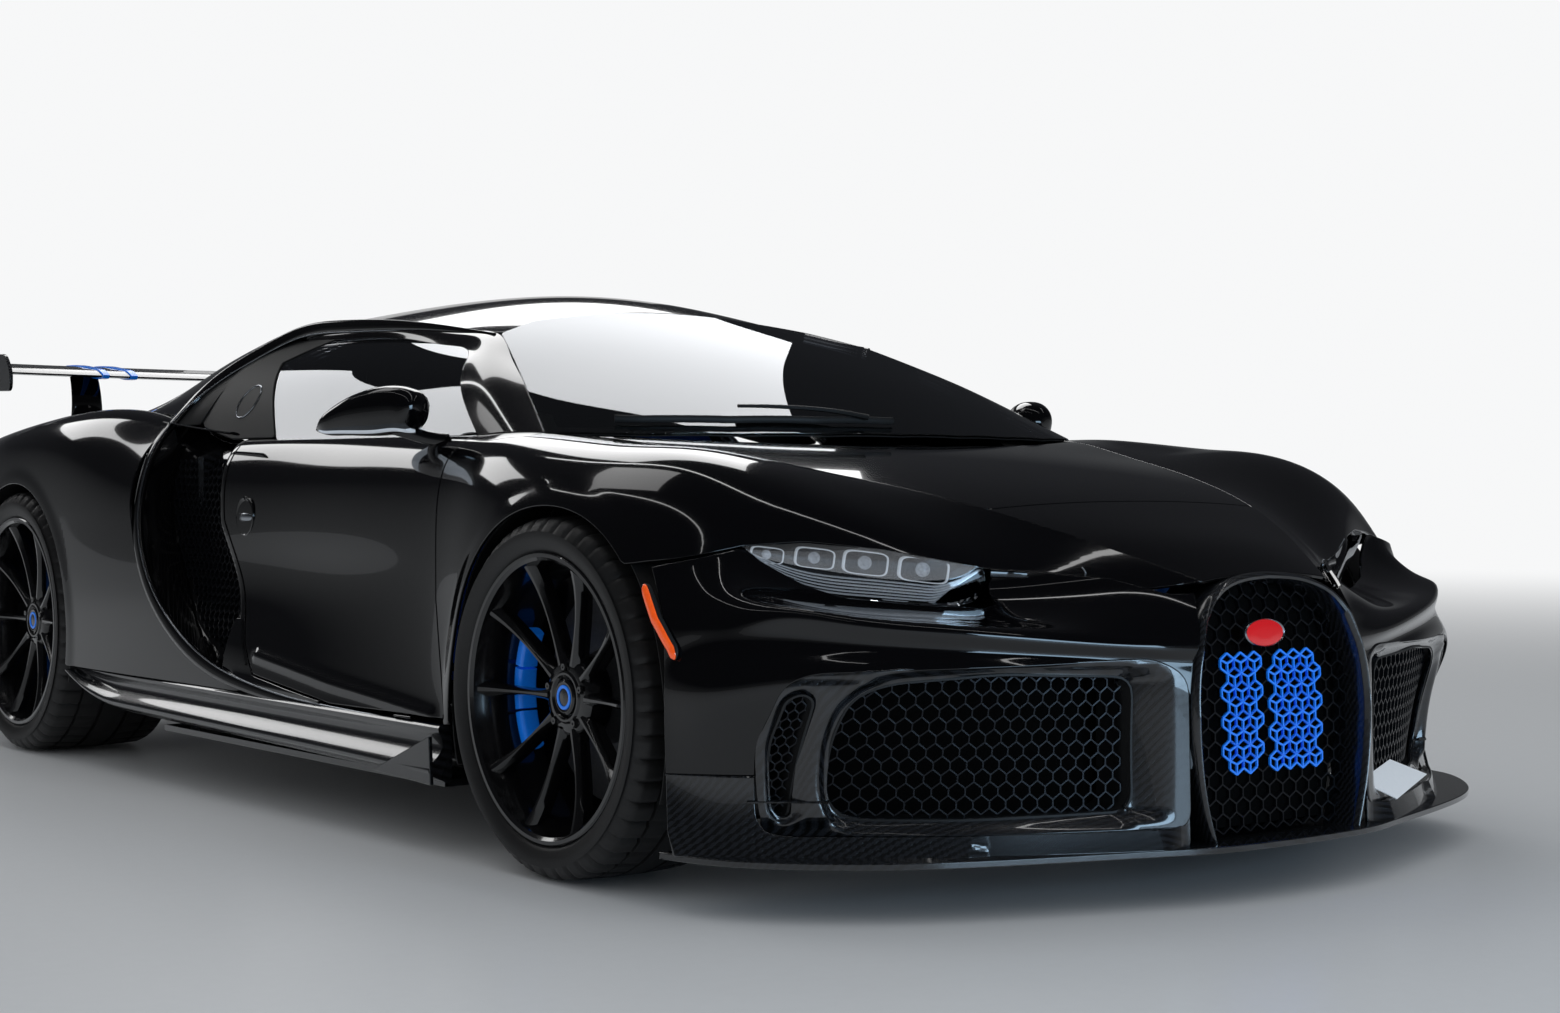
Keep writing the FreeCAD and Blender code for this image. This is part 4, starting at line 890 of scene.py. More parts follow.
class Finishes:
    """Every finish on the car, by the record's material slots and a few of their own."""

    def __init__(self) -> None:
        """Makes the materials."""
        some = [
            # Solid black two-pack lacquer under clear coat: deep, mirror-like, with a trace of orange peel.
            Finish("paint", "#030304", "#050507", 0.10, coat=1.0, grain=9.0, bump=0.002, specular=0.1),
            # Carbon cloth under lacquer: the twill shows as grey and black diamonds.
            Twill("carbon", "#060708", "#191b1f", 0.24, coat=1.0, bump=0.07),
            # Laminated screen glass: near clear with a slight green-grey tint.
            ClearGlass("glass", "#080b0c", "#0a0e0f", 0.01, bump=0.0, specular=0.0, clearness=0.80),
            # Moulded polycarbonate lamp cover, water clear.
            ClearGlass("lens", "#0a0c0e", "#0c0e10", 0.01, bump=0.0, specular=0.0, clearness=0.97),
            # Smoked glass of the lamp's eyes: its near-white second colour paints glints on it, and its glow is painted
            # brightness, not lamp light.
            Finish("lens_eye", "#4a5668", "#dbe6f3", 0.06, metallic=0.3, coat=1.0, grain=6.0, bump=0.10, glow=0.35),
            # Satin light guide in the lamp's fins; its glow is painted brightness, not lamp light.
            Finish("lamp_fin", "#b9c3ce", "#98a3af", 0.20, metallic=0.5, grain=5.0, bump=0.01, glow=0.32),
            # Painted shade: flat black sheets that stand for the unlit depth of the ducts behind the nets.
            Finish("painted_duct_shade", "#030303", "#050505", 0.9, grain=5.0, bump=0.0, specular=0.1),
            # Vulcanised tread rubber: dull, dark grey, a little dusty.
            Finish("tyre", "#121213", "#1d1d1e", 0.50, grain=3.0, bump=0.15),
            # Gloss black enamelled forged aluminium.
            Finish("wheel", "#070708", "#0d0d0f", 0.16, coat=0.8, grain=6.0, bump=0.006),
            # Carbon-ceramic disc: grey with a ground, mottled face.
            Finish("disc", "#4b4c4f", "#2c2d30", 0.38, metallic=0.5, grain=5.0, bump=0.08),
            # Bright blue stoved enamel on calipers, stripes and rings; its faint glow is painted brightness.
            Finish("blue", "#1a86ff", "#127af5", 0.25, coat=0.6, grain=5.0, bump=0.02, glow=0.10),
            # Black anodised wire lattice.
            Finish("mesh", "#0e1014", "#191c22", 0.30, metallic=0.6, grain=3.0, bump=0.03),
            # Smoke-chromed reflector bowls; their faint glow is a painted reflection.
            Finish("lamp", "#2b3038", "#14171c", 0.12, metallic=0.9, grain=6.0, bump=0.12, glow=0.12),
            # Bright chrome bezel round the lamp's modules, also the mirrors' bright line; its glow is a painted
            # highlight, not lamp light.
            Finish("bezel", "#dfe8f2", "#c3cfdc", 0.15, metallic=0.5, grain=5.0, bump=0.01, glow=0.45),
            # Red polycarbonate of the light bar, lit.
            Finish("tail_lamp", "#a80308", "#c4060b", 0.20, coat=0.4, grain=4.0, bump=0.02, glow=1.0),
            # Gloss black moulded trim.
            Finish("trim", "#040405", "#070708", 0.10, coat=1.0, grain=8.0, bump=0.003, specular=0.2),
            # Grained black polypropylene.
            Finish("plastic", "#0d0e0f", "#17181a", 0.55, grain=1.2, bump=0.08),
            # Dyed blue cowhide.
            Finish("leather", "#0c49a6", "#0f58c4", 0.50, grain=2.2, bump=0.22),
            # Soft-touch skin of the dashboard.
            Finish("dash", "#141518", "#1d1f23", 0.55, grain=1.6, bump=0.12),
            # Machined steel.
            Finish("steel", "#7d8186", "#5e6267", 0.32, metallic=1.0, grain=4.0, bump=0.03),
            # Cast aluminium of the frames and arms.
            Finish("alloy", "#8d9196", "#73777c", 0.36, metallic=1.0, grain=6.0, bump=0.04),
            # Heat-tinted titanium.
            Finish("exhaust", "#8a857e", "#5f5a55", 0.25, metallic=1.0, grain=5.0, bump=0.03),
            # Orange reflex lens; its glow is painted brightness.
            Finish("marker", "#e2440c", "#f0611a", 0.18, coat=1.0, grain=6.0, bump=0.05, glow=0.30),
            # Fired red enamel of the oval; its faint glow is painted brightness.
            Finish("red_enamel", "#d4141c", "#dc1b22", 0.2, coat=1.0, grain=3.0, bump=0.01, glow=0.15),
            # Polished stainless bright line.
            Finish("silver", "#aeb3b9", "#989da4", 0.22, metallic=1.0, grain=5.0, bump=0.01),
            # White lacquer of the blank plate; its faint glow is painted brightness.
            Finish("white_enamel", "#e6e8ea", "#dcdee1", 0.3, coat=0.5, grain=6.0, bump=0.02, glow=0.12),
        ]
        self.made = {one.name: one.material() for one in some}

    def __getitem__(self, name: str) -> bpy.types.Material:
        """The material of a finish."""
        return self.made[name]


class Body(Enum):
    """The bodies of the car that pieces ride on."""

    CHASSIS = "chassis"
    BONNET = "bonnet"
    DOOR_LEFT = "door_left"
    DOOR_RIGHT = "door_right"
    STEER_LEFT = "steer_left"
    STEER_RIGHT = "steer_right"
    WHEEL_FL = "wheel_fl"
    WHEEL_FR = "wheel_fr"
    WHEEL_RL = "wheel_rl"
    WHEEL_RR = "wheel_rr"


class Bevel(Enum):
    """How much a piece's hard edges are eased, in millimetres."""

    NONE = 0.0
    FINE = 0.6
    SOFT = 2.0


@dataclass
class SubAssembly:
    """Base of the car's sub-assemblies: makes pieces and hands them to the frame.

    Attributes:
        finishes: the car's finishes.
    """

    finishes: Finishes

    def add(self, name: str, shape: Shape, finish: str, body: Body = Body.CHASSIS, replaces: Sequence[str] = (),
            bevel: Bevel = Bevel.NONE, slot: Optional[str] = None, smooth: float = 35.0) -> bpy.types.Object:
        """Turns a shape into a piece of the car.

        Args:
            name: the piece's name.
            shape: its mesh in millimetres.
            finish: name of its finish.
            body: the body that it rides on.
            replaces: CAD nodes that it stands for.
            bevel: easing of its hard edges.
            slot: the record's material slot; not used.
            smooth: angle in degrees under which edges are smooth, on a shape with no normals of its own.

        Returns:
            The object.
        """
        mesh = bpy.data.meshes.new(name)
        faces = shape.tris.tolist() + shape.quads.tolist() + shape.caps
        mesh.from_pydata((shape.points * MM).tolist(), [], faces)
        mesh.polygons.foreach_set("use_smooth", np.ones(len(mesh.polygons), bool))
        mesh.materials.append(self.finishes[finish])
        if shape.normals is not None:
            mesh.normals_split_custom_set_from_vertices(shape.normals.tolist())
        else:
            mesh.set_sharp_from_angle(angle=math.radians(smooth))
        mesh.validate()
        piece = bpy.data.objects.new(name, mesh)
        bpy.context.scene.collection.objects.link(piece)
        if bevel is not Bevel.NONE:
            eased = piece.modifiers.new("eased", "BEVEL")
            eased.width = bevel.value * MM
            eased.segments = 2
            eased.limit_method = "ANGLE"
            eased.angle_limit = math.radians(30)
            eased.harden_normals = True
        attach(piece, body.value)
        slot or (finish if finish in SLOTS else "trim")
        if replaces:
            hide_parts(*replaces)
        log.info("%s: %d points, %d faces", name, len(mesh.vertices), len(mesh.polygons))
        return piece

    def add_pair(self, name: str, shape: Shape, finish: str, bodies: tuple = (Body.DOOR_LEFT, Body.DOOR_RIGHT),
                 replaces: Optional[str] = None, slot: Optional[str] = None, smooth: float = 35.0) -> None:
        """Adds a piece of the car's left side and its mirror image, each on the body of its side.

        Args:
            name: name of the pieces, without their side.
            shape: the left one.
            finish: name of their finish.
            bodies: the left and the right body.
            replaces: the CAD node that each stands for, without its side.
            slot: the record's material slot.
            smooth: angle in degrees under which edges are smooth.
        """
        for side, body, one in zip(("left", "right"), bodies, (shape, shape.mirrored())):
            nodes = [replaces + "_" + side] if replaces else []
            self.add(name + "_" + side, one, finish, body, nodes, slot=slot, smooth=smooth)

    def build(self) -> None:
        """Builds the sub-assembly's pieces."""
        raise NotImplementedError


SLOTS = ("paint", "carbon", "glass", "tyre", "wheel", "disc", "blue", "mesh", "lamp", "tail_lamp", "trim", "plastic",
         "leather", "dash", "steel", "alloy", "exhaust")


def stations(*rows: Sequence) -> list:
    """Rows of a net that lie straight across the car, each given as its Y and then its (x, z) points."""
    return [[(x, y, z) for x, z in points] for y, *points in rows]


# Flank from the lamp to behind the door: crease, inner, crest, shoulder, widest line, flank, sill and lower edge.
FLANK_NET = [
    [(168, -2172, 566), (490, -1955, 535), (712, -1822, 575), (878, -1732, 572), (975, -1722, 520), (1004, -1722, 430),
     (1006, -1724, 340), (1004, -1726, 257)],
    [(300, -1950, 652), (474, -1939, 589), (700, -1802, 634), (868, -1716, 630), (968, -1700, 560), (1004, -1706, 450),
     (1008, -1712, 345), (1006, -1715, 257)],
] + stations(
    (-1640, (440, 735), (620, 748), (800, 748), (940, 655), (1000, 540), (1012, 430), (1013, 340), (1010, 257)),
    (-1312, (560, 790), (700, 806), (845, 810), (975, 735), (1014, 600), (1019, 470), (1019, 350), (1017, 257)),
    (-1000, (680, 833), (765, 836), (850, 835), (945, 772), (984, 620), (990, 480), (990, 350), (987, 257)),
    (-812, (722, 838), (778, 838), (840, 836), (920, 770), (950, 620), (958, 490), (972, 330), (985, 257)),
    (-400, (776, 836), (810, 836), (843, 834), (902, 765), (924, 620), (930, 480), (968, 325), (985, 257)),
    (0, (776, 836), (812, 836), (846, 834), (898, 760), (918, 620), (926, 480), (972, 350), (986, 257)),
    (328, (776, 836), (816, 836), (852, 834), (906, 765), (928, 620), (938, 480), (978, 375), (986, 257)),
    (520, (776, 836), (818, 836), (856, 834), (912, 765), (936, 620), (946, 480), (980, 390), (987, 257)),
    (700, (776, 880), (822, 878), (866, 868), (926, 780), (952, 630), (962, 490), (984, 390), (990, 257)),
)
# Haunch over the rear wheel: deck edge, crest, shoulder, widest line, flank and lower edge.
HAUNCH_NET = stations(
    (-21, (828, 842), (840, 838), (925, 770), (960, 620), (965, 480), (985, 257)),
    (299, (830, 858), (842, 855), (940, 780), (985, 620), (990, 480), (990, 257)),
    (639, (836, 884), (850, 880), (955, 790), (998, 620), (1003, 480), (1000, 257)),
    (1000, (745, 918), (868, 925), (980, 830), (1006, 640), (1008, 500), (1006, 257)),
    (1399, (694, 914), (870, 912), (980, 830), (1008, 640), (1010, 500), (1008, 257)),
    (1760, (674, 885), (850, 882), (960, 800), (1005, 620), (1008, 500), (1000, 257)),
    (2050, (662, 862), (805, 858), (905, 790), (955, 640), (958, 520), (950, 330)),
    (2189, (650, 850), (770, 846), (860, 780), (905, 650), (908, 560), (900, 430)),
)
# Band between the screen or roof and the side window: (x, y, z) on its upper edge, then (y, z) on the window's edge.
CANT_ROWS = [((748, -905, 841), (-785, 838)), ((699, -784, 900), (-666, 900)), ((645, -650, 965), (-544, 965)),
             ((594, -522, 1020), (-441, 1020)), ((544, -390, 1074), (-350, 1044)), ((546, -250, 1090), (-252, 1054)),
             ((560, 18, 1109), (18, 1084)), ((576, 248, 1118), (248, 1090)), ((592, 420, 1116), (420, 1094))]
# Bumper from the lamp's lower edge down to the splitter, each row running from the grille to the wheel arch.
BUMPER_NET = [
    [(190, -2172, 574), (300, -2074, 590), (474, -1938, 600), (600, -1858, 612), (706, -1802, 624), (820, -1740, 645),
     (900, -1712, 645), (965, -1690, 626), (1004, -1660, 606)],
    [(198, -2182, 548), (322, -2078, 556), (488, -1930, 545), (608, -1858, 548), (710, -1800, 562), (826, -1742, 596),
     (906, -1722, 604), (967, -1702, 584), (1005, -1680, 566)],
    [(208, -2200, 508), (345, -2135, 508), (520, -2020, 500), (650, -1940, 508), (770, -1870, 520), (868, -1800, 545),
     (930, -1765, 555), (975, -1730, 535), (1006, -1700, 515)],
    [(214, -2210, 478), (348, -2165, 478), (525, -2090, 489), (660, -2020, 500), (780, -1945, 514), (880, -1870, 530),
     (938, -1805, 525), (978, -1750, 508), (1007, -1706, 490)],
    [(218, -2216, 452), (350, -2176, 458), (528, -2103, 472), (665, -2035, 486), (785, -1962, 500), (888, -1882, 512),
     (945, -1818, 500), (982, -1755, 485), (1008, -1708, 465)],
    [(220, -2212, 428), (350, -2168, 438), (528, -2094, 448), (665, -2026, 458), (783, -1955, 466), (885, -1880, 470),
     (948, -1822, 462), (984, -1758, 450), (1008, -1709, 430)],
    [(222, -2214, 405), (352, -2172, 412), (530, -2108, 418), (668, -2040, 424), (786, -1974, 424), (888, -1908, 416),
     (952, -1856, 408), (994, -1790, 400), (1011, -1712, 392)],
    [(222, -2220, 300), (352, -2170, 300), (528, -2098, 300), (664, -2026, 300), (780, -1952, 300), (880, -1876, 300),
     (945, -1826, 300), (986, -1770, 300), (1010, -1712, 300)],
    [(200, -2232, 105), (340, -2180, 105), (516, -2095, 105), (640, -2020, 105), (745, -1940, 105), (840, -1860, 105),
     (910, -1800, 105), (965, -1745, 105), (1000, -1712, 105)],
]
# Front-view line (x, z) under the fender: over the lamp, then the seam back to the wheel arch.
BROW_LINE = [(0, 556), (190, 548), (240, 548), (305, 574), (400, 583), (462, 586), (476, 590), (522, 599), (635, 624),
             (752, 638), (850, 631), (868, 627), (940, 613), (985, 604), (1040, 588)]
# Front-view line over the bumper: under the marker and the lamp, then the same seam.
LAMP_FOOT = [(0, 552), (190, 544), (240, 545), (305, 571), (400, 580), (458, 582), (474, 528), (500, 520), (600, 526),
             (706, 539), (759, 560), (820, 600), (850, 624), (868, 623), (940, 609), (985, 600), (1040, 584)]
# Front view (x, z) of the lamp's opening.
LAMP_WINDOW = [(462, 562), (476, 590), (522, 599), (635, 624), (752, 638), (850, 631), (820, 600), (759, 560),
               (706, 539), (600, 526), (500, 520), (472, 528)]
# Side view (y, z) of the door's shut line.
DOOR_OUTLINE = [(-783, 860), (-834, 503), (-910, 268), (-412, 262), (-36, 300), (40, 375), (128, 500), (237, 649),
                (282, 860)]
# Middle line of the wrap-round band.
WRAP_PATH = [(552, -384, 1072), (558, -200, 1094), (572, 33, 1113), (594, 270, 1121), (618, 448, 1112),
             (672, 563, 1064), (734, 638, 1010), (800, 678, 944), (874, 668, 872), (932, 646, 800), (972, 626, 681),
             (988, 592, 595), (992, 532, 498), (992, 402, 394), (990, 209, 312), (988, -3, 273)]
# Front views (x, z) of the intake's frame, its honeycomb window and the slot beside it.
INTAKE_OUTLINE = [(243, 138), (243, 402), (300, 434), (862, 420), (905, 396), (918, 300), (900, 160), (876, 136)]
MESH_WINDOW = [(330, 168), (330, 402), (560, 412), (740, 398), (792, 372), (806, 300), (802, 200), (772, 162),
               (600, 160)]
SLOT_WINDOW = [(852, 170), (848, 372), (866, 384), (888, 372), (893, 300), (880, 180), (866, 164)]
# Plan views (x, y) of half the screen's foot and half its header.
SCREEN_HALF = [(748, -905), (561, -1013), (374, -1090), (187, -1137), (0, -1152)]
HEADER_HALF = [(540, -390), (405, -317), (270, -292), (135, -268), (0, -260)]


@dataclass(frozen=True)
class Arch:
    """A round wheel opening in side view.

    Attributes:
        axle: Y of its centre.
        height: Z of its centre.
        radius: its radius.
    """

    axle: float
    height: float
    radius: float

    def outside(self, grid: Array) -> Array:
        """Distance of a grid's points from the opening, positive outside it."""
        return np.hypot(grid[..., 1] - self.axle, grid[..., 2] - self.height) - self.radius

    def flared(self, grid: Array, lip: float, width: float = 46.0) -> Array:
        """Raises a band round the opening: out along X by the lip's height times a smooth step of the distance.

        Args:
            grid: rows by cols by 3 points.
            lip: height of the band.
            width: width over which it fades out.

        Returns:
            The raised grid.
        """
        away = self.outside(grid)
        out = grid.copy()
        out[..., 0] = np.minimum(out[..., 0] + lip * eased(1 - away / width) * (away > -60), WIDEST)
        return out


FRONT_ARCH = Arch(FRONT_AXLE, 315.0, 385.0)
REAR_ARCH = Arch(REAR_AXLE, 345.5, 387.5)


@dataclass
class Masters:
    """Fine grids of the body's surfaces, from which its panels are cut.

    Attributes:
        bow: power of the bonnet's cross section.
    """

    bow: float = 2.2

    def __post_init__(self) -> None:
        """Samples the nets."""
        self.flank = ridged(surface(FLANK_NET, 230, 120), [(-36, 346), (-400, 306), (-855, 273)], 8.0, 13.0)
        self.haunch = surface(HAUNCH_NET, 175, 100)
        self.bumper = surface(BUMPER_NET, 120, 130)
        for grid in (self.flank, self.haunch, self.bumper):
            grid[..., 0] = np.minimum(grid[..., 0], WIDEST)
        self.fender = FRONT_ARCH.flared(self.flank, 5)
        self.hood = self.between_creases()

    def between_creases(self) -> Array:
        """Bonnet and nose top: at each point of the crease the section is centre + (crease - centre) |s|^bow for s
        from -1 to 1 across the car.

        Returns:
            The grid, from the nose to the screen.
        """
        edge = self.flank[:, 0]
        edge = edge[edge[:, 1] < -830]
        middle_y = np.array([-2172, -2060, -1940, -1834, -1640, -1312, -1152, -982, -830.0])
        middle_z = np.array([577, 632, 668, 701, 748, 803, 824, 842, 850.0])
        middle = spline_matrix(middle_y, np.clip(edge[:, 1], middle_y[0], middle_y[-1])) @ middle_z
        s = np.linspace(-1, 1, 91)
        z = middle[:, None] + (edge[:, 2] - middle)[:, None] * np.abs(s) ** self.bow
        return np.stack(np.broadcast_arrays(edge[:, 0][:, None] * s, edge[:, 1][:, None], z), -1)


def above(grid: Array, line: Sequence) -> Array:
    """Height of a grid's points over a front-view line, shortened by the line's slope.

    Args:
        grid: rows by cols by 3 points.
        line: (x, z) points, x rising.

    Returns:
        The distances, negative under the line.
    """
    p = np.asarray(line, float)
    x = np.abs(grid[..., 0])
    slope = np.interp(x, (p[1:, 0] + p[:-1, 0]) / 2, np.diff(p[:, 1]) / np.diff(p[:, 0]))
    return (grid[..., 2] - np.interp(x, p[:, 0], p[:, 1])) / np.sqrt(1 + slope**2)


def behind_wrap(y: Array, z: Array) -> Array:
    """Distance of side-view points from the wrap line, positive behind it."""
    wrap = [(p[1], p[2]) for p in WRAP_PATH[7:]]
    return inside(y, z, [(700, 990)] + wrap + [(-3, 200), (TAIL + 100, 200), (TAIL + 100, 990)])


def screen_region() -> Array:
    """Plan outline of the windscreen: its bowed foot, its sides and its bowed header."""
    half = np.array(SCREEN_HALF[::-1] + HEADER_HALF, float)
    return np.concatenate([half, half[::-1][1:-1] * np.array([-1.0, 1.0])])


def screen_height(x: Array, y: Array) -> Array:
    """Height of the windscreen at plan points: centre + (side - centre) (x / 760)^2.

    Args:
        x: across the car.
        y: along it.

    Returns:
        The heights.
    """
    m = spline_matrix(np.array([-1172, -905, -650, -390, -242.0]), np.ravel(y))
    centre, side = ((m @ np.array(heights)).reshape(np.shape(y)) for heights in
                    ([834, 938, 1030, 1112, 1156.0], [722, 838, 940, 1042, 1086.0]))
    return centre + (side - centre) * (np.asarray(x) / 760) ** 2


@dataclass
class BodyPanels(SubAssembly):
    """Bonnet, nose, fenders, haunches and engine cover in gloss black.

    Attributes:
        masters: the body's surfaces.
        wall: thickness of a panel.
        gap: width of a shut line.
        lid_front: Y of the bonnet's front edge.
        sill: height of the fenders' lower edge.
    """

    masters: Masters = field(default_factory=Masters)
    wall: float = 6.0
    gap: float = 3.0
    lid_front: float = -1824.0
    sill: float = 259.0

    def build(self) -> None:
        """Builds the painted panels."""
        self.bonnet()
        self.fenders()
        self.bumper()
        self.haunches()
        self.cover()
        self.arch_linings()

    def arch_linings(self) -> None:
        """Dark cones between the wheel wells' liners and the skins: rings about each axle, from just inside the skin to
        the liner's wider edge. Each is given as grid, arch, growth over the arch, X of the liner's edge and growth
        towards it."""
        for name, grid, arch, grow, inner, wide in (("front", self.masters.flank, FRONT_ARCH, 4, 836, 56),
                                                    ("rear", self.masters.haunch, REAR_ARCH, 4.5, 900, 16)):
            turn = np.radians(np.linspace(-20, 200, 120))
            radius = arch.radius + grow
            outer = on_grid(grid, 0, arch.axle + radius * np.cos(turn), arch.height + radius * np.sin(turn)) - 8
            share = np.linspace(0, 1, 8)
            ring = radius + wide * (1 - share)
            y, z = arch.axle + np.cos(turn)[:, None] * ring, arch.height + np.sin(turn)[:, None] * ring
            drum = np.stack([inner + (outer - inner)[:, None] * share, y, z], -1)
            self.add("arch_linings_" + name, both(panel(whole(drum), 3.0, 0.6)), "plastic")

    def bonnet(self) -> None:
        """Lid from behind the nose to its bowed rear edge."""
        g = self.masters.hood
        bow = -1216 + 204 * (g[..., 0] / 640) ** 2
        edge = np.abs(g[..., 0]).max(1)[:, None] - np.abs(g[..., 0]) - self.gap
        keep = common(g[..., 1] - self.lid_front - self.gap, bow - g[..., 1], edge)
        self.add("bonnet_skin", cut(g, keep, Facing.UP, self.wall), "paint", Body.BONNET, ["bonnet"])

    def fenders(self) -> None:
        """Front fenders down to the lamp's brow, the seam and the door."""
        g = self.masters.fender
        x, y, z = g[..., 0], g[..., 1], g[..., 2]
        brow = np.where(y < FRONT_AXLE, above(g, BROW_LINE) - 1, 99)
        door = -inside(y, z, DOOR_OUTLINE) - DOOR_GAP
        keep = common(brow, FRONT_ARCH.outside(g), door, -780 - y + (z - 836) * 0.15, z - self.sill,
                      -inside(x, y, screen_region()) - 6)
        self.add("fender_skins", both(cut(g, keep, Facing.LEFT, self.wall)), "paint", replaces=["front_fenders"])

    def bumper(self) -> None:
        """Nose top between the creases and the bumper with its intake openings."""
        g = self.masters.hood
        ring = -inside(g[..., 0], g[..., 2], ring_outline(1.5))
        top = np.minimum(self.lid_front - self.gap - g[..., 1], np.where(g[..., 1] < -2100, ring, 99))
        self.add("nose_top", cut(g, top, Facing.UP, self.wall), "paint")
        b = self.masters.bumper
        x, z = b[..., 0], b[..., 2]
        keep = common(-above(b, LAMP_FOOT) - 1, -inside(x, z, ring_outline(1.5)),
                      -inside(x, z, rounded(INTAKE_OUTLINE, 30)), FRONT_ARCH.outside(b), z - 240)
        self.add("bumper_skin", both(cut(b, keep, Facing.AHEAD, self.wall)), "paint", replaces=["front_bumper"])

    def haunches(self) -> None:
        """Rear fenders behind the wrap line."""
        g = Arch(REAR_AXLE, 345.0, 388.0).flared(self.masters.haunch, 4)
        keep = common(behind_wrap(g[..., 1], g[..., 2]) - 12, REAR_ARCH.outside(g), g[..., 2] - self.sill)
        self.add("haunch_skins", both(cut(g, keep, Facing.LEFT, self.wall)), "paint", replaces=["rear_fenders"])

    def cover(self) -> None:
        """Fastback engine cover between the haunches, its net given as Y and half a section of (x, z) points."""
        rows = [(605, (828, 886), (735, 1003), (608, 1109), (300, 1172), (0, 1192)),
                (1000, (739, 920), (655, 988), (560, 1052), (280, 1100), (0, 1128)),
                (1399, (688, 912), (605, 942), (500, 975), (250, 1005), (0, 1040)),
                (1799, (666, 880), (560, 902), (450, 925), (220, 938), (0, 962)),
                (2189, (644, 848), (520, 861), (400, 868), (200, 872), (0, 878))]
        g = surface([[(-x, y, z) for x, z in half] + [(x, y, z) for x, z in half[-2::-1]] for y, *half in rows], 120,
                    140)
        keep = np.minimum(g[..., 1] - 612, 2186 - g[..., 1])
        self.add("cover_skin", cut(g, keep, Facing.UP, self.wall), "paint", replaces=["engine_cover"])


def ring_outline(grow: float) -> Array:
    """Front-view outline of the horseshoe: two bowed sides, a round top and a flat foot.

    Args:
        grow: how far it is moved outwards.

    Returns:
        The (x, z) points.
    """
    x = 202 + grow
    side = curve([(x - 4, 100), (x + 24, 200), (x + 36, 330), (x + 26, 420), (x, 500 + grow / 2)], 24)
    top = curve([(x, 500 + grow / 2), (165 + grow * 0.8, 540 + grow * 0.7), (90, 570 + grow), (0, 578 + grow)], 16)[1:]
    half = np.concatenate([side, top])
    return np.concatenate([half, half[::-1][1:] * np.array([-1.0, 1.0])])


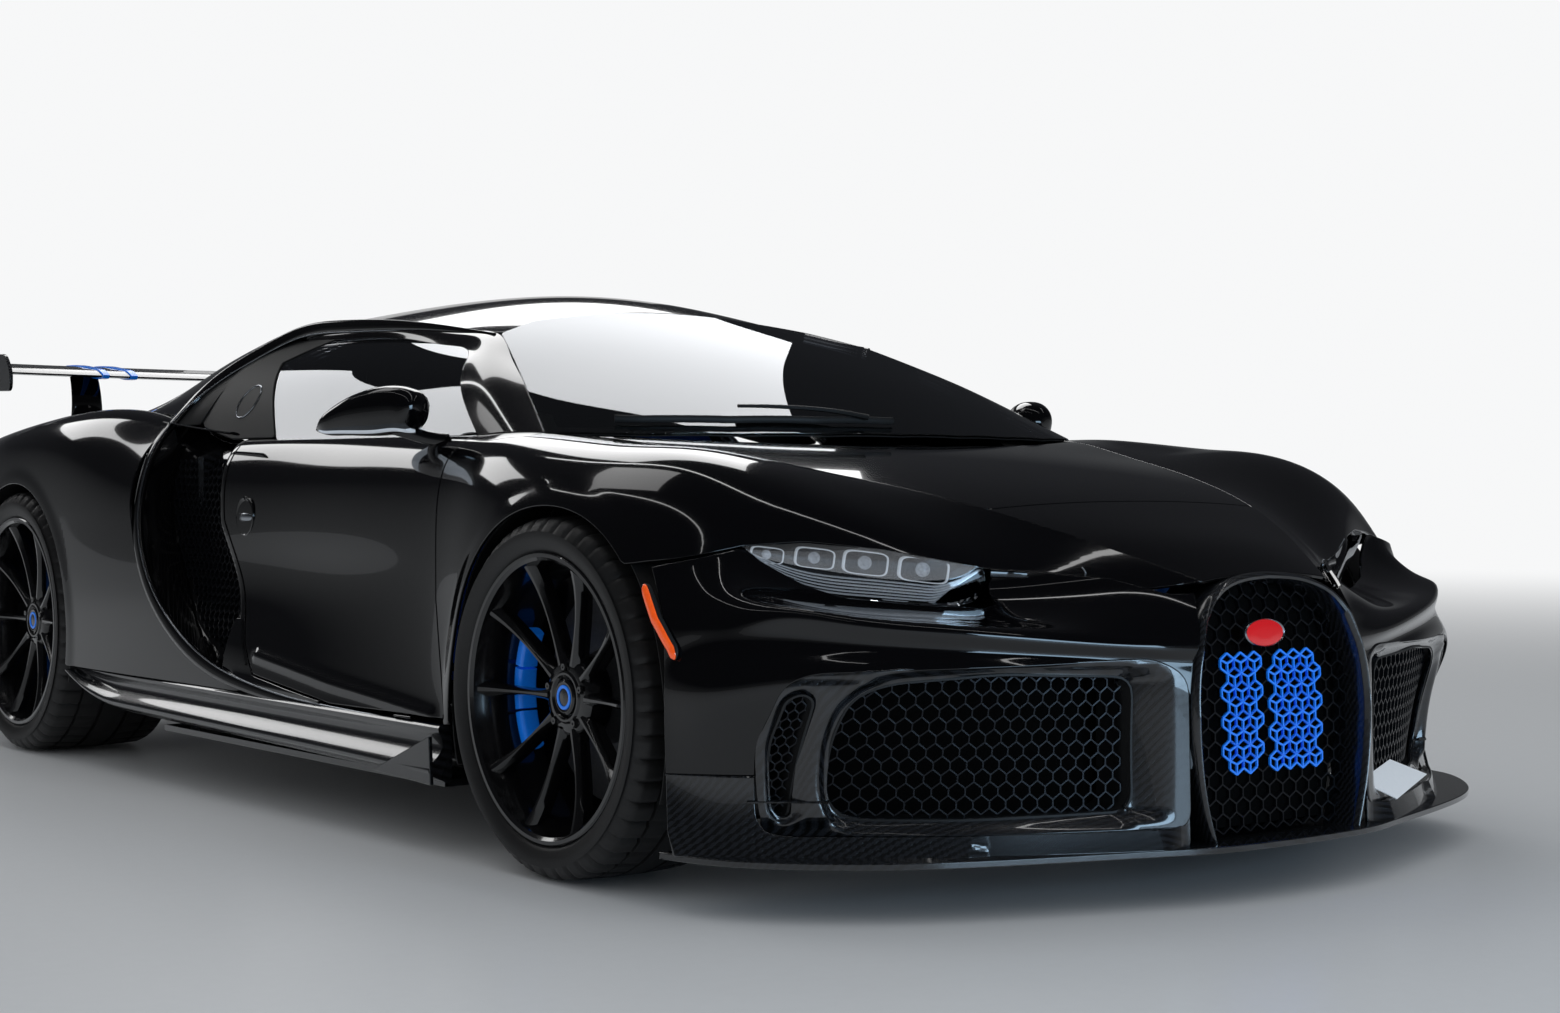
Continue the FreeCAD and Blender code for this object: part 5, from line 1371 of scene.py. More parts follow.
@dataclass
class Glasshouse(SubAssembly):
    """Windscreen, roof, side windows, cant bands and the wrap line.

    Attributes:
        wall: thickness of the glass.
    """

    wall: float = 5.0

    def build(self) -> None:
        """Builds the glass and its frame."""
        self.windscreen()
        self.roof()
        self.sides()
        self.wrap_line()

    def windscreen(self) -> None:
        """Screen of laminated glass, with its dark printed border under it."""
        x, y = np.linspace(-760, 760, 120)[None], np.linspace(-1170, -230, 90)[:, None]
        g = np.stack(np.broadcast_arrays(x, y, screen_height(x, y)), -1)
        deep = inside(g[..., 0], g[..., 1], screen_region())
        self.add("screen_glass", cut(g, deep - 3, Facing.UP, self.wall, 1.0), "glass", replaces=["windscreen"])
        low = g - (0, 0, self.wall + 0.5)
        self.add("screen_border", cut(low, np.minimum(deep - 3, 34 - deep), Facing.UP, 2.0, 0.5), "plastic")

    def roof(self) -> None:
        """Roof panel: at each y the section is centre + (side - centre) (x / edge)^2."""
        y = np.linspace(-400, 612, 90)
        m = spline_matrix(np.array([-400, -250, -50, 250, 612.0]), y)
        edge, side, centre = ((m @ np.array(values))[:, None] for values in
                              ([534, 542, 554, 574, 594.0], [1079, 1091, 1107, 1119, 1111.0],
                               [1110, 1154, 1198, 1212, 1190.0]))
        s = np.linspace(-1, 1, 100)
        g = np.stack(np.broadcast_arrays(edge * s, y[:, None], centre + (side - centre) * s**2), -1)
        keep = common(-inside(g[..., 0], g[..., 1], screen_region()) - 3, 606 - g[..., 1])
        self.add("roof_skin", cut(g, keep, Facing.UP, 6.0), "paint", replaces=["roof"])

    def sides(self) -> None:
        """Door windows and quarter panels from the cabin's curved side, and the cant bands over them."""
        g = cabin_side()
        y, z = g[..., 1], g[..., 2]
        window = [(-782, 838), (-407, 1038), (-252, 1054), (18, 1084), (248, 1090), (368, 1030), (148, 838)]
        self.add_pair("window", cut(g, inside(y, z, window), Facing.LEFT, self.wall, 1.0), "glass",
                      replaces="door_glass")
        quarter = [(170, 846), (390, 1034), (268, 1094), (593, 1090), (593, 890), (500, 846)]
        self.add("quarter_skins", both(cut(g, inside(y, z, quarter), Facing.LEFT, 6.0)), "plastic", slot="trim",
                 replaces=["quarter_panels"])
        net = []
        for edge, (wy, wz) in CANT_ROWS:
            foot = np.array([float(on_grid(g, 0, wy, wz)) + 1, wy, wz])
            edge = np.asarray(edge, float)
            out = unit(np.cross(foot - edge, (0.25, 0.9, 0.35)))
            net.append([edge, (edge + foot) / 2 + out * 8 * np.sign(out[2]), foot])
        self.add("cant_bands", both(cut(surface(net, 110, 18), None, Facing.UP, 6.0)), "paint")

    def wrap_line(self) -> None:
        """Gloss band that wraps the side from the screen's top corner back, down and forward along the sill, with a
        bright bead on its inner edge and a return into the side behind it."""
        path = curve(WRAP_PATH + [(984, -278, 252), (983, -893, 244)], 190)
        run = np.linspace(0, 1, len(path))
        opening, closing = eased(run / 0.2), 1 - 0.45 * eased((run - 0.62) / 0.2)
        size = np.column_stack([0.35 + 0.65 * opening, 0.5 + 0.5 * opening]) * closing[:, None]
        self.add("wrap_line", both(sweep(path, oval(33, 20, 20, 3.0), LEAN, size)), "trim", replaces=["c_bars"],
                 smooth=60)
        across = unit(np.cross(unit(np.gradient(path, axis=0)), LEAN))
        bead = path + across * 15.5 * size[:, :1] + np.array(LEAN) * 8.0 * size[:, 1:]
        self.add("wrap_bead", both(sweep(bead, oval(3.6, 3.6, 10), LEAN)), "silver", slot="trim", smooth=60)
        back = path[(run > 0.24) & (run < 0.72)]
        strip = back[:, None] - np.array([1.0, 0, 0]) * np.linspace(0, 110, 10)[None, :, None]
        self.add("wrap_returns", both(panel(whole(strip), 3.0, 0.6)), "trim")
        upper = curve([(592, 420, 1116), (600, 520, 1106), (612, 590, 1102), (735, 590, 1001), (826, 590, 884)], 40)
        outer = curve([(618, 448, 1112), (672, 563, 1064), (734, 638, 1010), (800, 678, 944), (866, 672, 880)], 40)
        fill = upper[:, None] + (outer - upper)[:, None] * np.linspace(0, 1, 10)[None, :, None]
        self.add("quarter_fillers", both(cut(fill, None, Facing.LEFT, 4.0, 1.0)), "plastic", slot="trim")


@dataclass
class Doors(SubAssembly):
    """Doors cut from the flank's surface.

    Attributes:
        masters: the body's surfaces.
    """

    masters: Masters = field(default_factory=Masters)

    def build(self) -> None:
        """Builds both doors."""
        g = self.masters.flank
        keep = np.minimum(inside(g[..., 1], g[..., 2], DOOR_OUTLINE) - DOOR_GAP, g[..., 0] - 778)
        self.add_pair("door_skin", cut(g, keep, Facing.LEFT, 16.0, 2.5), "paint", replaces="door")


@dataclass
class Wheel(SubAssembly):
    """One wheel: tyre, ten-spoke rim with its hub and cap.

    Attributes:
        corner: which wheel, as in the node names.
        body: the body that it turns with.
        hub: its centre.
        side: +1 on the car's left.
        radius: of the tyre.
        rim_radius: of the tyre's bead.
        width: of the tyre.
        spokes: number of spokes.
        sections: sections of the tyre in a full turn.
        notch: depth of the notches in the tread's shoulders.
    """

    corner: str = "fl"
    body: Body = Body.WHEEL_FL
    hub: tuple = (874.5, FRONT_AXLE, 340.0)
    side: int = 1
    radius: float = 340.0
    rim_radius: float = 266.0
    width: float = 285.0
    spokes: int = 10
    sections: int = 288
    notch: float = 6.5

    def place(self, name: str, shape: Shape, finish: str, node: Optional[str] = None, smooth: float = 35.0) -> None:
        """Adds a piece drawn with its outer face at +X, set at the hub on its side of the car.

        Args:
            name: name of the piece, with %s for the corner.
            shape: the piece.
            finish: name of its finish.
            node: the CAD node that it stands for, without the corner.
            smooth: angle in degrees under which edges are smooth.
        """
        here = shape.moved(self.hub)
        self.add(name % self.corner, here if self.side > 0 else here.mirrored(), finish, self.body,
                 [node + self.corner] if node else [], smooth=smooth)

    def build(self) -> None:
        """Builds tyre, rim, cap and the cap's plain ring."""
        self.place("tyre_%s_skin", self.tyre(), "tyre", "tyre_", 50)
        self.place("rim_%s_skin", self.rim(), "wheel", "rim_", 32)
        x = self.width / 2 - 60
        cap = [(x - 8, 0.5), (x + 4, 0.5), (x + 3.4, 14), (x + 2, 22), (x + 4, 26), (x + 4, 29), (x + 1, 33),
               (x - 8, 33.5)]
        self.place("cap_%s", turned(cap, 48), "wheel")
        x += 3
        ring = [(x - 4, 17), (x + 1.6, 17), (x + 2.2, 20), (x + 1.6, 23), (x - 4, 23)]
        self.place("cap_ring_%s", turned(ring, 48), "blue")

    def tyre(self) -> Shape:
        """Section with four grooves in the tread and a stepped sidewall; every sixth section is notched at the
        shoulders.

        Returns:
            The tyre about the origin.
        """
        h, r, b = self.width / 2, self.radius, self.rim_radius
        tread = h - 30
        outer = []
        for i, a in enumerate((-0.72, -0.66, -0.30, -0.22, 0.22, 0.30, 0.66, 0.72)):
            x, crown = a * tread, r - 4 * a * a
            outer += [(x, crown), (x + 2, crown - 8)] if i % 2 == 0 else [(x - 2, crown - 8), (x, crown)]
        belly = (r + b) / 2
        side = [(tread, r - 4), (h - 20, r - 8), (h - 10, r - 20), (h - 4, r - 34), (h - 1, belly + 8), (h, belly),
                (h - 1.5, belly - 8), (h - 5, b + 16), (h - 11, b + 8), (h - 18, b + 6), (h - 18, b)]
        profile = np.array([(-x, z) for x, z in side[::-1]] + outer + side)
        made = turned(profile, self.sections)
        shoulder = (np.abs(profile[:, 0]) > 0.31 * tread) & (profile[:, 1] > r - 24)
        cuts = (np.arange(self.sections) % 6 < 1)[:, None] & shoulder
        made.points[:, 1:] *= np.where(cuts, 1 - self.notch / r, 1.0).reshape(-1, 1)
        return made

    def rim(self) -> Shape:
        """Barrel, stepped lip, hub with five lug nuts and thin spokes that dip towards the hub: with t the share of
        the way out, a spoke's face lies at 0.25 t + 0.75 t^3 of the dip.

        Returns:
            The rim about the origin.
        """
        h, r = self.width / 2, self.rim_radius - 0.3
        lip = [(-h + 18, r), (h - 18, r), (h - 18, r + 6), (h - 11, r + 7), (h - 8, r + 4), (h - 8, r - 3),
               (h - 14, r - 9), (h - 32, r - 13), (h - 60, r - 24), (-h + 50, r - 24), (-h + 28, r - 9),
               (-h + 8, r - 4), (-h + 8, r + 6), (-h + 18, r + 6)]
        x = h - 60
        hub = [(x - 52, 34), (x - 8, 34), (x - 3, 38), (x + 3, 42), (x + 3, 46), (x - 1, 50), (x - 2, 62), (x - 6, 70),
               (x - 14, 75), (x - 52, 80)]
        run = np.linspace(62, r - 8, 16)
        t = (run - 62) / (r - 70)
        path = np.column_stack([x - 5 + (h - 14 - 8 - x) * (0.25 * t + 0.75 * t**3), np.zeros_like(run), run])
        size = np.column_stack([1.15 - 0.55 * np.sin(np.pi * np.clip(t * 1.1, 0, 1)) ** 0.8 + 0.1 * t, np.ones_like(t)])
        blade = np.array([(-11, -26), (-12, -6), (-6.5, 3), (-3, 6), (3, 6), (6.5, 3), (12, -6), (11, -26)], float)
        spoke = sweep(path, blade, (1, 0, 0), size)
        nut = turned([(x - 8, 0.5), (x + 4, 0.5), (x + 6, 3), (x + 6, 7), (x + 2, 9), (x - 8, 9)], 6).moved((0, 0, 57))
        return joined([turned(lip, 144), turned(hub, 96)]
                      + [spun(spoke, 360 / self.spokes * (i + 0.5)) for i in range(self.spokes)]
                      + [spun(nut, 72 * i) for i in range(5)])


@dataclass
class Calipers(SubAssembly):
    """Front brake calipers: each three blocks on an arc behind the hub, just inside the spokes.

    Attributes:
        radius: of the arc.
        depth: X of the arc beyond the hub's.
    """

    radius: float = 217.0
    depth: float = 36.0

    def build(self) -> None:
        """Builds both calipers."""
        x, y, z = Wheel.hub
        blocks = []
        for low, high in ((-31, -12), (-10.5, 10.5), (12, 31)):
            turn = np.radians(np.linspace(low, high, 16))
            path = np.column_stack([np.full(16, x + self.depth), y + self.radius * np.cos(turn),
                                    z + self.radius * np.sin(turn)])
            blocks.append(sweep(path, oval(28, 40, 20, 4.0), (1, 0, 0)))
        self.add_pair("caliper_blocks", joined(blocks), "blue", (Body.STEER_LEFT, Body.STEER_RIGHT), "caliper",
                      smooth=50)


LAMP_NET = [
    [(462, -1944, 588), (466, -1926, 556), (474, -1908, 522)],
    [(522, -1914, 599), (528, -1904, 562), (535, -1884, 518)],
    [(635, -1844, 626), (640, -1838, 578), (642, -1822, 526)],
    [(752, -1767, 640), (752, -1766, 594), (748, -1750, 548)],
    [(858, -1710, 634), (858, -1712, 629), (858, -1714, 622)],
]
SPEAR_LINE = [(470, 580), (400, 576), (320, 570), (280, 562), (240, 546)]
# Lamp modules: x and z of the centre, width and height.
MODULES = [(806, 612, 60, 28), (732, 606, 72, 36), (656, 597, 82, 42), (568, 584, 92, 44)]


@dataclass
class Headlamps(SubAssembly):
    """Slit lamps: a clear cover, four framed modules over a fan of fins, in a dark tray, and the spear beside them.

    Attributes:
        masters: the body's surfaces.
        depth: depth of the tray.
        fins: number of fins.
        inward: direction from the cover into the tray.
    """

    masters: Masters = field(default_factory=Masters)
    depth: float = 50.0
    fins: int = 7
    inward: tuple = (-0.5, 0.862, 0.06)

    def build(self) -> None:
        """Builds both lamps."""
        lens = surface(LAMP_NET, 90, 30)
        way = unit(np.asarray(self.inward))
        edge = rounded(LAMP_WINDOW, 9)
        cover = faced(trimmed(lens, inside(lens[..., 0], lens[..., 2], inset(edge, 1.2))), Facing.AHEAD)
        self.add("lamp_covers", both(panel(cover, 2.5, 1.0)), "lens", slot="glass")
        rim = even_loop(edge, 160)
        loops = []
        for shrink, deep in ((0.4, 3.0), (0.4, self.depth), (3.0, self.depth), (3.0, 4.0)):
            p = inset(rim, shrink)
            loops.append(front_points(p, on_grid(lens, 1, p[:, 0], p[:, 1])) + way * deep)
        floor = panel(Shape(cover.points + way * (self.depth - 4), cover.tris, cover.quads, [], cover.normals), 3.0,
                      0.6)
        self.add("lamp_trays", both(joined([hoop(loops), Shape(floor.points, floor.tris, floor.quads)])), "trim",
                 replaces=["headlamps"])
        self.modules(lens, way)
        # The fins' finish glows: painted brightness.
        self.add("lamp_fins", both(joined([self.fin(lens, way, (k + 0.5) / self.fins) for k in range(self.fins)])),
                 "lamp_fin", slot="lamp")
        self.spear()

    def modules(self, lens: Array, way: Array) -> None:
        """Frames, bowls and eyes of the modules, each drawn as outlines scaled and set at a depth.

        Args:
            lens: grid of the cover.
            way: direction into the tray.
        """
        frames, bowls, lights = [], [], []
        for x, z, wide, high in MODULES:
            here = (x, float(on_grid(lens, 1, x, z)), z) + way * 12
            outline = oval(wide, high, 40, 5.0)
            ring = [np.column_stack([outline * k, np.full(40, deep)])
                    for k, deep in ((1.0, -14), (1.0, 0), (0.98, 2), (0.93, 2), (0.91, 0), (0.91, -14))]
            bowl = dish(outline, [(0.05, -19), (0.4, -18.5), (0.62, -14), (0.90, -2), (0.92, -2), (0.92, -24),
                                  (0.05, -24)])
            eye = dish(oval(high * 0.6, high * 0.6, 28), [(1.0, -17), (1.0, -10), (0.85, -5.5), (0.5, -2.5),
                                                          (0.05, -1.5)])
            for pieces, shape in ((frames, hoop(ring)), (bowls, bowl), (lights, eye)):
                pieces.append(set_up(shape, here, (0.85, 0.5, 0.12), -way))
        # Frames, bowls and eyes all glow: painted highlights and reflections in the lamp.
        self.add("lamp_frames", both(joined(frames)), "bezel", slot="lamp", smooth=50)
        self.add("lamp_bowls", both(joined(bowls)), "lamp")
        self.add("lamp_eyes", both(joined(lights)), "lens_eye", slot="lamp")

    def fin(self, lens: Array, way: Array, level: float) -> Shape:
        """One fin: it follows the lamp's foot at its level and turns up at the inner end, t = 0.96 - 0.40 level - rise.

        Args:
            lens: grid of the cover.
            way: direction into the tray.
            level: 0 at the lamp's foot to 1 under the modules.

        Returns:
            The fin.
        """
        s = np.linspace(0.035, 0.96, 60)
        rise = 0.5 * np.clip((0.20 - s) / 0.165, 0, 1) ** 1.7
        path = at_share(lens, s, 0.96 - 0.40 * level - rise) + way * 12
        blade = np.array([(-1.1, -7), (1.1, -7), (1.1, 7), (-1.1, 7)], float)
        size = np.column_stack([np.ones_like(s), 0.35 + 0.65 * np.sin(np.pi * np.clip(s * 1.1, 0, 1)) ** 0.5])
        return sweep(path, blade, -way, size)

    def spear(self) -> None:
        """Pointed trim from the lamp towards the grille, with a bright line and a tick on it."""
        line = curve(SPEAR_LINE, 50)
        path = front_points(line, on_grid(self.masters.flank, 1, line[:, 0], line[:, 1]))
        taper = np.linspace(1.0, 0.12, 50)
        self.add("spears", both(sweep(path, oval(6, 17, 16), size=taper)), "trim")
        under = path + (0, -3.2, -4.5) * taper[:, None]
        self.add("spear_lines", both(sweep(under, oval(2.4, 2.4, 8), size=taper)), "silver", slot="trim")
        tick = path[30] + np.array([(0, 2, -6), (-3, -2, 8), (3, 0, 19)], float)
        self.add("spear_ticks", both(sweep(curve(tick, 12), oval(4.5, 3.5, 10))), "silver", slot="trim")


@dataclass
class Grille(SubAssembly):
    """Horseshoe: carbon ring, honeycomb net with two blue stripes, and the plain red oval.

    Attributes:
        cell: width of the honeycomb's cells.
        rise: height from row to row.
        wall: length of a cell's upright walls.
        recess: depth of the net behind the ring's front edge.
        stripes: lowest and highest X of each blue stripe.
        stripe_span: lowest and highest Z of the stripes.
        badge_height: Z of the oval.
    """

    cell: float = 36.0
    rise: float = 26.0
    wall: float = 15.0
    recess: float = 46.0
    stripes: tuple = ((-131, -24), (6, 139))
    stripe_span: tuple = (212, 432)
    badge_height: float = 467.0

    def front(self, z: Array) -> Array:
        """Y of the ring's front edge at a height: upright below, leaning back to the bonnet above."""
        return np.interp(z, [95, 152, 330, 443, 500, 540, 580], [-2232, -2230, -2227, -2219, -2208, -2196, -2176])

    def build(self) -> None:
        """Builds the horseshoe."""
        loops = []
        for grow, deep in ((0.8, 16), (0.8, 2), (-1.5, -3), (-6, -5), (-11, -2), (-14, 6), (-18, 26), (-20, 70),
                           (-9, 70)):
            p = even_loop(ring_outline(grow), 260)
            loops.append(front_points(p, self.front(p[:, 1]) + deep))
        self.add("ring_band", hoop(loops), "carbon", replaces=["grille_ring"], smooth=45)
        window = inset(even_loop(ring_outline(0), 200), 16)
        lines = honeycomb(self.cell, self.rise, self.wall, (-240, 240, 110, 580))
        self.add("grille_net", self.wires(within(lines, window, -10), self.recess, 3.0, 8.0), "mesh",
                 replaces=["grille"])
        self.add("grille_stripes", self.wires(self.stripe_cells(lines), self.recess - 5, 3.6, 4.0), "blue")
        # Flat black sheet behind the net: painted shade deep in the duct.
        back = front_points(window, self.front(window[:, 1]) + self.recess + 34)
        self.add("grille_back", plate(back, (0, 3, 0)), "painted_duct_shade", slot="plastic")
        place = (0, float(self.front(self.badge_height)) + self.recess - 4, self.badge_height)
        face = oval(104, 50, 48)
        badge = dish(face, [(1.0, -10), (1.0, 0), (0.96, 3), (0.88, 4), (0.4, 5), (0.04, 5.2)])
        rim = hoop([np.column_stack([face * k, np.full(48, h)])
                    for k, h in ((1.05, -8), (1.05, 3), (1.0, 5), (0.95, 3.2), (0.95, -8))])
        # The oval's enamel glows faintly: painted brightness.
        for name, shape, finish in (("badge", badge, "red_enamel"), ("badge_rim", rim, "silver")):
            self.add(name, set_up(shape, place, (1, 0, 0), (0, -1, 0.1)), finish, slot="trim")

    def stripe_cells(self, lines: Array) -> Array:
        """Whole cells of the net that lie in the stripes, each with three spokes to every second corner.

        Args:
            lines: the net's lines.

        Returns:
            The stripes' lines.
        """
        middle = lines.reshape(-1, 3, 2, 2)[:, 0, 0] + (self.cell / 2, self.wall / 2)
        a, b, top = self.cell / 2, self.wall / 2, self.rise - self.wall / 2
        hexagon = np.array([(-a, -b), (-a, b), (0, top), (a, b), (a, -b), (0, -top)])
        spokes = np.stack([np.zeros((3, 2)), hexagon[[1, 3, 5]]], 1)
        cell = np.concatenate([np.stack([hexagon, np.roll(hexagon, -1, 0)], 1), spokes])
        blue = []
        for low, high in self.stripes:
            held = (middle[:, 0] > low + 10) & (middle[:, 0] < high - 10)
            held &= (middle[:, 1] > self.stripe_span[0]) & (middle[:, 1] < self.stripe_span[1])
            blue.append((middle[held][:, None, None] + cell).reshape(-1, 2, 2))
        return np.concatenate(blue)

    def wires(self, lines: Array, deep: float, width: float, thick: float) -> Shape:
        """Line ends (x, z) as rods on the leaning grille plane."""
        return rods(front_points(lines, self.front(lines[..., 1]) + deep), (0, -1, 0), width, thick)


@dataclass
class Intakes(SubAssembly):
    """Lower intakes: carbon frames with a window and a slot, their sleeves, honeycomb nets, and flat black backs that
    are painted shade deep in the ducts.

    Attributes:
        masters: the body's surfaces.
        recess: depth of the window's net.
        slant: how much longer the bumper's slanting width is than its front view.
    """

    masters: Masters = field(default_factory=Masters)
    recess: float = 44.0
    slant: float = 1.17

    def build(self) -> None:
        """Builds both intakes: the frame's face dips by smooth steps of the distance to window, slot and ends."""
        b = self.masters.bumper
        z, x = np.meshgrid(np.arange(132, 442, 5.0), np.arange(240, 926, 5.0))
        front = on_grid(b, 1, x, z)
        window, slot = even_loop(rounded(MESH_WINDOW, 34), 220), even_loop(rounded(SLOT_WINDOW, 12), 120)
        m, q = inside(x, z, window), inside(x, z, slot)
        foot = eased((z - 146) / 26)
        inner = eased((x - 262) / 75) * eased((360 - x) / 25) * eased((424 - z) / 30) * foot
        tilt = (z - 290) * 0.11 * np.maximum(inner, eased((x - 790) / 30) * foot)
        dip = np.maximum(np.maximum(24 * eased(1 + m / 30), 16 * eased(1 + q / 13)), 38 * inner) + tilt
        groove = 3.0 * np.exp(-((z - 424 + 0.02 * x) / 3.5) ** 2) * (x > 290)
        grid = np.stack([x, front - 3 + dip + groove, z], -1)
        keep = common(inside(x, z, rounded(INTAKE_OUTLINE, 30)) - 0.8, -m, -q)
        self.add("intake_frame_skins", both(cut(grid, keep, Facing.AHEAD, 7.0, 3.0)), "carbon",
                 replaces=["intake_frames"])
        sleeves = []
        for outline, near in ((window, 20.0), (slot, 10.0)):
            loops = []
            for shrink, deep in ((-2.0, near), (-2.0, 104.0), (1.5, 104.0), (1.5, near)):
                p = inset(outline, shrink)
                loops.append(front_points(p, on_grid(b, 1, p[:, 0], p[:, 1]) + deep))
            sleeves.append(hoop(loops))
        self.add("intake_sleeves", both(joined(sleeves)), "plastic")
        nets = [self.net(window, 30.0, 23.0, 12.0, self.recess), self.net(slot, 17.0, 15.0, 8.0, 26.0)]
        self.add("intake_nets", both(joined(nets)), "mesh", replaces=["intake_mesh"])
        # Flat black backs behind the nets: painted shade deep in the ducts.
        held = inside(x, z, [(316, 150), (316, 416), (900, 400), (896, 156)])
        self.add("intake_backs", both(cut(grid + (0, 96, 0), held, Facing.AHEAD, 3.0, 0.5)), "painted_duct_shade", slot="plastic")
        fence = np.column_stack([np.linspace(806, 915, 20), np.full(20, 196.0)])
        path = front_points(fence, on_grid(b, 1, fence[:, 0], fence[:, 1]) - 4)
        self.add("intake_fences", both(sweep(path, oval(16, 6, 12, 3.0))), "carbon")

    def net(self, outline: Array, cell: float, rise: float, wall: float, deep: float) -> Shape:
        """Honeycomb of a window, its width measured along the slanting bumper.

        Args:
            outline: (x, z) points of the window.
            cell: width of a cell.
            rise: height from row to row.
            wall: length of the upright walls.
            deep: depth behind the bumper's face.

        Returns:
            The net's rods.
        """
        low, high = outline.min(0), outline.max(0)
        lines = honeycomb(cell, rise, wall, (low[0] * self.slant, high[0] * self.slant, low[1], high[1]))
        lines = within(lines * np.array([1 / self.slant, 1.0]), outline, -6)
        y = on_grid(self.masters.bumper, 1, lines[..., 0], lines[..., 1]) + deep
        return rods(front_points(lines, y), (0.45, -0.9, 0.0), 2.6, 7.0)


SPLITTER_EDGE = [(0, -2270), (200, -2257), (330, -2219), (640, -2113), (840, -2001), (962, -1871), (992, -1811),
                 (1008, -1751), (1016, -1702)]


@dataclass
class Splitter(SubAssembly):
    """Carbon splitter: its blade and the corners that sweep up from it to the bumper.

    Attributes:
        masters: the body's surfaces.
    """

    masters: Masters = field(default_factory=Masters)

    def build(self) -> None:
        """Builds the blade and the corners."""
        edge = curve(SPLITTER_EDGE, 60)
        half = np.concatenate([edge, [(1016, -1702), (0, -1702)]])
        outline = np.concatenate([half, half[::-1][1:-1] * (-1, 1)])
        flat = np.column_stack([outline, np.full(len(outline), 92.5)])
        self.add("splitter_blade", plate(flat, (0, 0, 12)), "carbon", replaces=["splitter"], bevel=Bevel.SOFT)
        b = self.masters.bumper
        x, z = b[..., 0], b[..., 2]
        out = np.clip((x - 250) / 60, 0, 1) * np.clip((242 - z) / 140, 0, 1) ** 1.6
        grid = b + np.stack([26 * out * (x > 600), -34 * out, 0 * out], -1)
        grid[..., 0] = np.minimum(grid[..., 0], 1017)
        keep = common(238 - z, grid[..., 2] - 103, -inside(x, z, rounded(INTAKE_OUTLINE, 30)),
                      FRONT_ARCH.outside(b) - 1, x - 243)
        self.add("splitter_corners", both(cut(grid, keep, Facing.AHEAD, 6.0)), "carbon")
        seam = np.column_stack([np.linspace(906, 1008, 24), np.full(24, 239.0)])
        lip = front_points(seam, on_grid(b, 1, seam[:, 0], seam[:, 1]) - 1)
        self.add("corner_lips", both(sweep(lip, oval(9, 4, 10))), "carbon")


